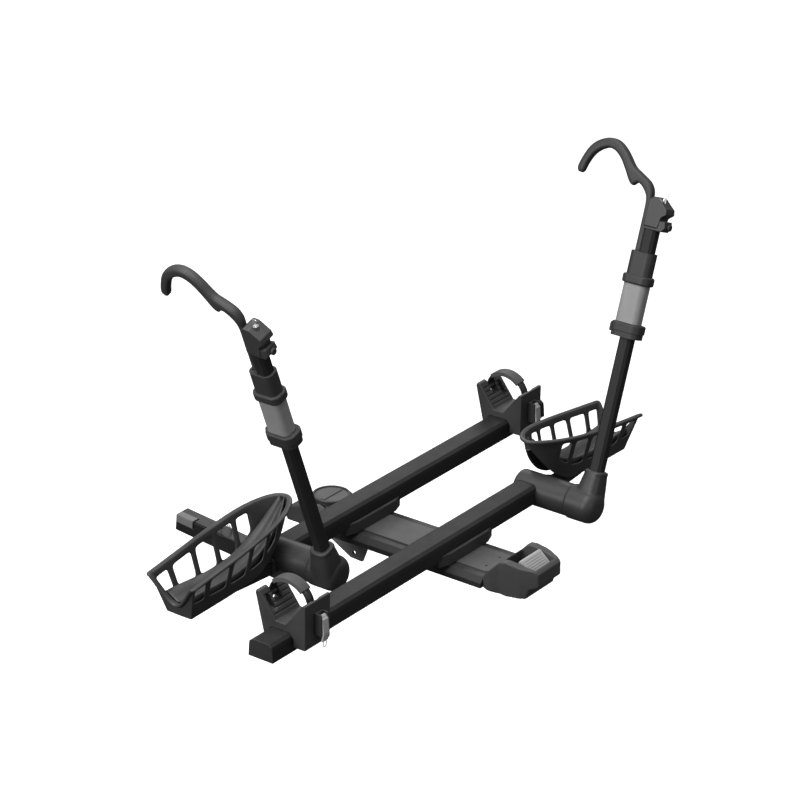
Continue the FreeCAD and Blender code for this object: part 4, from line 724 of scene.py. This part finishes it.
def finish(name, dark, pale, highlight_tone, smooth, dull, grain=900.0, bump=0.10, metal=0.0, edge=0.0009,
           highlight_amount=0.4, dust=0.10, gloss=0.36, stretch=(1.0, 1.0, 1.0)):
    """A coated or moulded finish: two close tones in patches, fine grain, rounded edges with a painted
    pale highlight.
    """
    material = bpy.data.materials.new(name)
    material.use_nodes = True
    tree = material.node_tree
    shader = tree.nodes["Principled BSDF"]
    place = tree.nodes.new("ShaderNodeTexCoord").outputs["Object"]
    mapping = tree.nodes.new("ShaderNodeMapping")
    mapping.inputs["Scale"].default_value = stretch
    tree.links.new(place, mapping.inputs["Vector"])
    spread = mapping.outputs["Vector"]
    edges = use_group(tree, EDGE, Radius=edge)
    texture = use_group(tree, GRAIN, Vector=spread, Grain=grain, Smooth=smooth, Dull=dull)
    tone = blend_colour(tree, texture["Tone"], grey(dark), grey(pale))
    # Edges are painted pale here as a painted highlight, over real dust on what faces up.
    dusted_and_highlit = use_group(tree, DUST_AND_HIGHLIGHT, Vector=place, Colour=tone, Rubbed=grey(highlight_tone), Edge=edges["Edge"],
                     Wear=highlight_amount, Dust=dust)
    relief = tree.nodes.new("ShaderNodeBump")
    relief.inputs["Strength"].default_value = bump
    relief.inputs["Distance"].default_value = 0.0004
    tree.links.new(texture["Height"], relief.inputs["Height"])
    tree.links.new(edges["Normal"], relief.inputs["Normal"])
    tree.links.new(dusted_and_highlit["Colour"], shader.inputs["Base Color"])
    tree.links.new(texture["Roughness"], shader.inputs["Roughness"])
    tree.links.new(relief.outputs["Normal"], shader.inputs["Normal"])
    shader.inputs["Metallic"].default_value = metal
    shader.inputs["Specular IOR Level"].default_value = gloss
    return material


EDGE = edge_group()
GRAIN = grain_group()
DUST_AND_HIGHLIGHT = dust_and_highlight_group()

# Each finish: darkest and palest tone, painted edge-highlight tone, least and most roughness.
FINISHES = {
    "black_aluminium": finish("black_anodised", 0.012, 0.017, 0.10, 0.44, 0.56,
                              grain=1400, bump=0.10, edge=0.0008, highlight_amount=0.35, dust=0.05, gloss=0.20,
                              stretch=(0.25, 1.0, 1.0)),
    "black_plastic": finish("black_moulding", 0.018, 0.024, 0.08, 0.42, 0.60,
                            grain=1100, bump=0.20, edge=0.0012),
    "cast_black": finish("cast_satin", 0.028, 0.038, 0.08, 0.34, 0.48,
                         grain=800, bump=0.12, edge=0.0020),
    "tray_plastic": finish("tray_moulding", 0.030, 0.042, 0.16, 0.38, 0.55,
                           grain=1000, bump=0.16, edge=0.0012, highlight_amount=0.55, dust=0.10),
    "tray_rim": finish("rim_moulding", 0.036, 0.048, 0.20, 0.34, 0.48,
                       grain=1000, bump=0.12, edge=0.0008),
    "black_steel": finish("powder_coat", 0.010, 0.014, 0.10, 0.36, 0.52,
                          grain=700, bump=0.22, edge=0.0014),
    "steel": finish("zinc", 0.30, 0.40, 0.60, 0.25, 0.42,
                    grain=1200, bump=0.10, metal=1.0, edge=0.0005),
    "key_steel": finish("bright_key", 0.62, 0.78, 0.85, 0.14, 0.28,
                        grain=1500, bump=0.06, metal=1.0, edge=0.0004),
    "grip_plastic": finish("soft_touch", 0.022, 0.030, 0.09, 0.45, 0.62,
                           grain=1300, bump=0.14, edge=0.0014),
    "pale_band": finish("grey_band", 0.19, 0.24, 0.26, 0.42, 0.58,
                        grain=1200, bump=0.14, edge=0.0008),
    "hook_rubber": finish("hook_coating", 0.026, 0.036, 0.12, 0.44, 0.60,
                          grain=900, bump=0.16, edge=0.0022),
    "strap_plastic": finish("strap_moulding", 0.012, 0.018, 0.08, 0.40, 0.56,
                            grain=1200, bump=0.14, edge=0.0006),
    "sleeve_rubber": finish("sleeve", 0.055, 0.075, 0.16, 0.50, 0.66,
                            grain=1000, bump=0.16, edge=0.0008),
    "lever_grey": finish("lever_moulding", 0.30, 0.38, 0.28, 0.38, 0.54,
                         grain=1200, bump=0.12, edge=0.0008),
    "wedge_steel": finish("wedge_coat", 0.12, 0.16, 0.24, 0.36, 0.52,
                          grain=800, bump=0.16, edge=0.0010),
    "plate_grey": finish("plate_coat", 0.060, 0.078, 0.16, 0.42, 0.56,
                         grain=900, bump=0.14, edge=0.0010, gloss=0.24),
    "spine_aluminium": finish("spine_anodised", 0.022, 0.030, 0.12, 0.42, 0.56,
                              grain=1300, bump=0.10, edge=0.0010, gloss=0.22,
                              stretch=(1.0, 0.25, 1.0)),
    "plate_steel": finish("plate_dark", 0.085, 0.105, 0.14, 0.44, 0.58,
                          grain=900, bump=0.14, edge=0.0010),
    "handle_plastic": finish("handle_moulding", 0.042, 0.055, 0.09, 0.42, 0.58,
                             grain=1100, bump=0.18, edge=0.0016),
}

SLOTS = {part["node"]: part["material_slot"] for part in frame["record"]["subparts"]}


def dress_nodes():
    """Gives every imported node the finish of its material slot."""
    for name, piece in frame["nodes"].items():
        piece.data.materials.clear()
        piece.data.materials.append(FINISHES[SLOTS[name]])


make_camera()
make_studio()
make_floor()
dress_nodes()
for side in SIDES:
    make_tray(side)
    make_tray_rim(side)
    make_tray_ramp(side)
    make_hook(side)
    make_elbow(side)
    make_strap_teeth(side)
    for node, body, voxel in ((side + "_lock_head", side + "_arm", 0.0013),
                              (side + "_cradle", side + "_rear_cradle", 0.0011)):
        fit(softened_copy(node, voxel, 3), body, SLOTS[node], node)
for node, body, voxel in (("handle_housing", "platform", 0.0020), ("hub_cover", "hitch", 0.0018)):
    fit(softened_copy(node, voxel, 4), body, SLOTS[node], node)
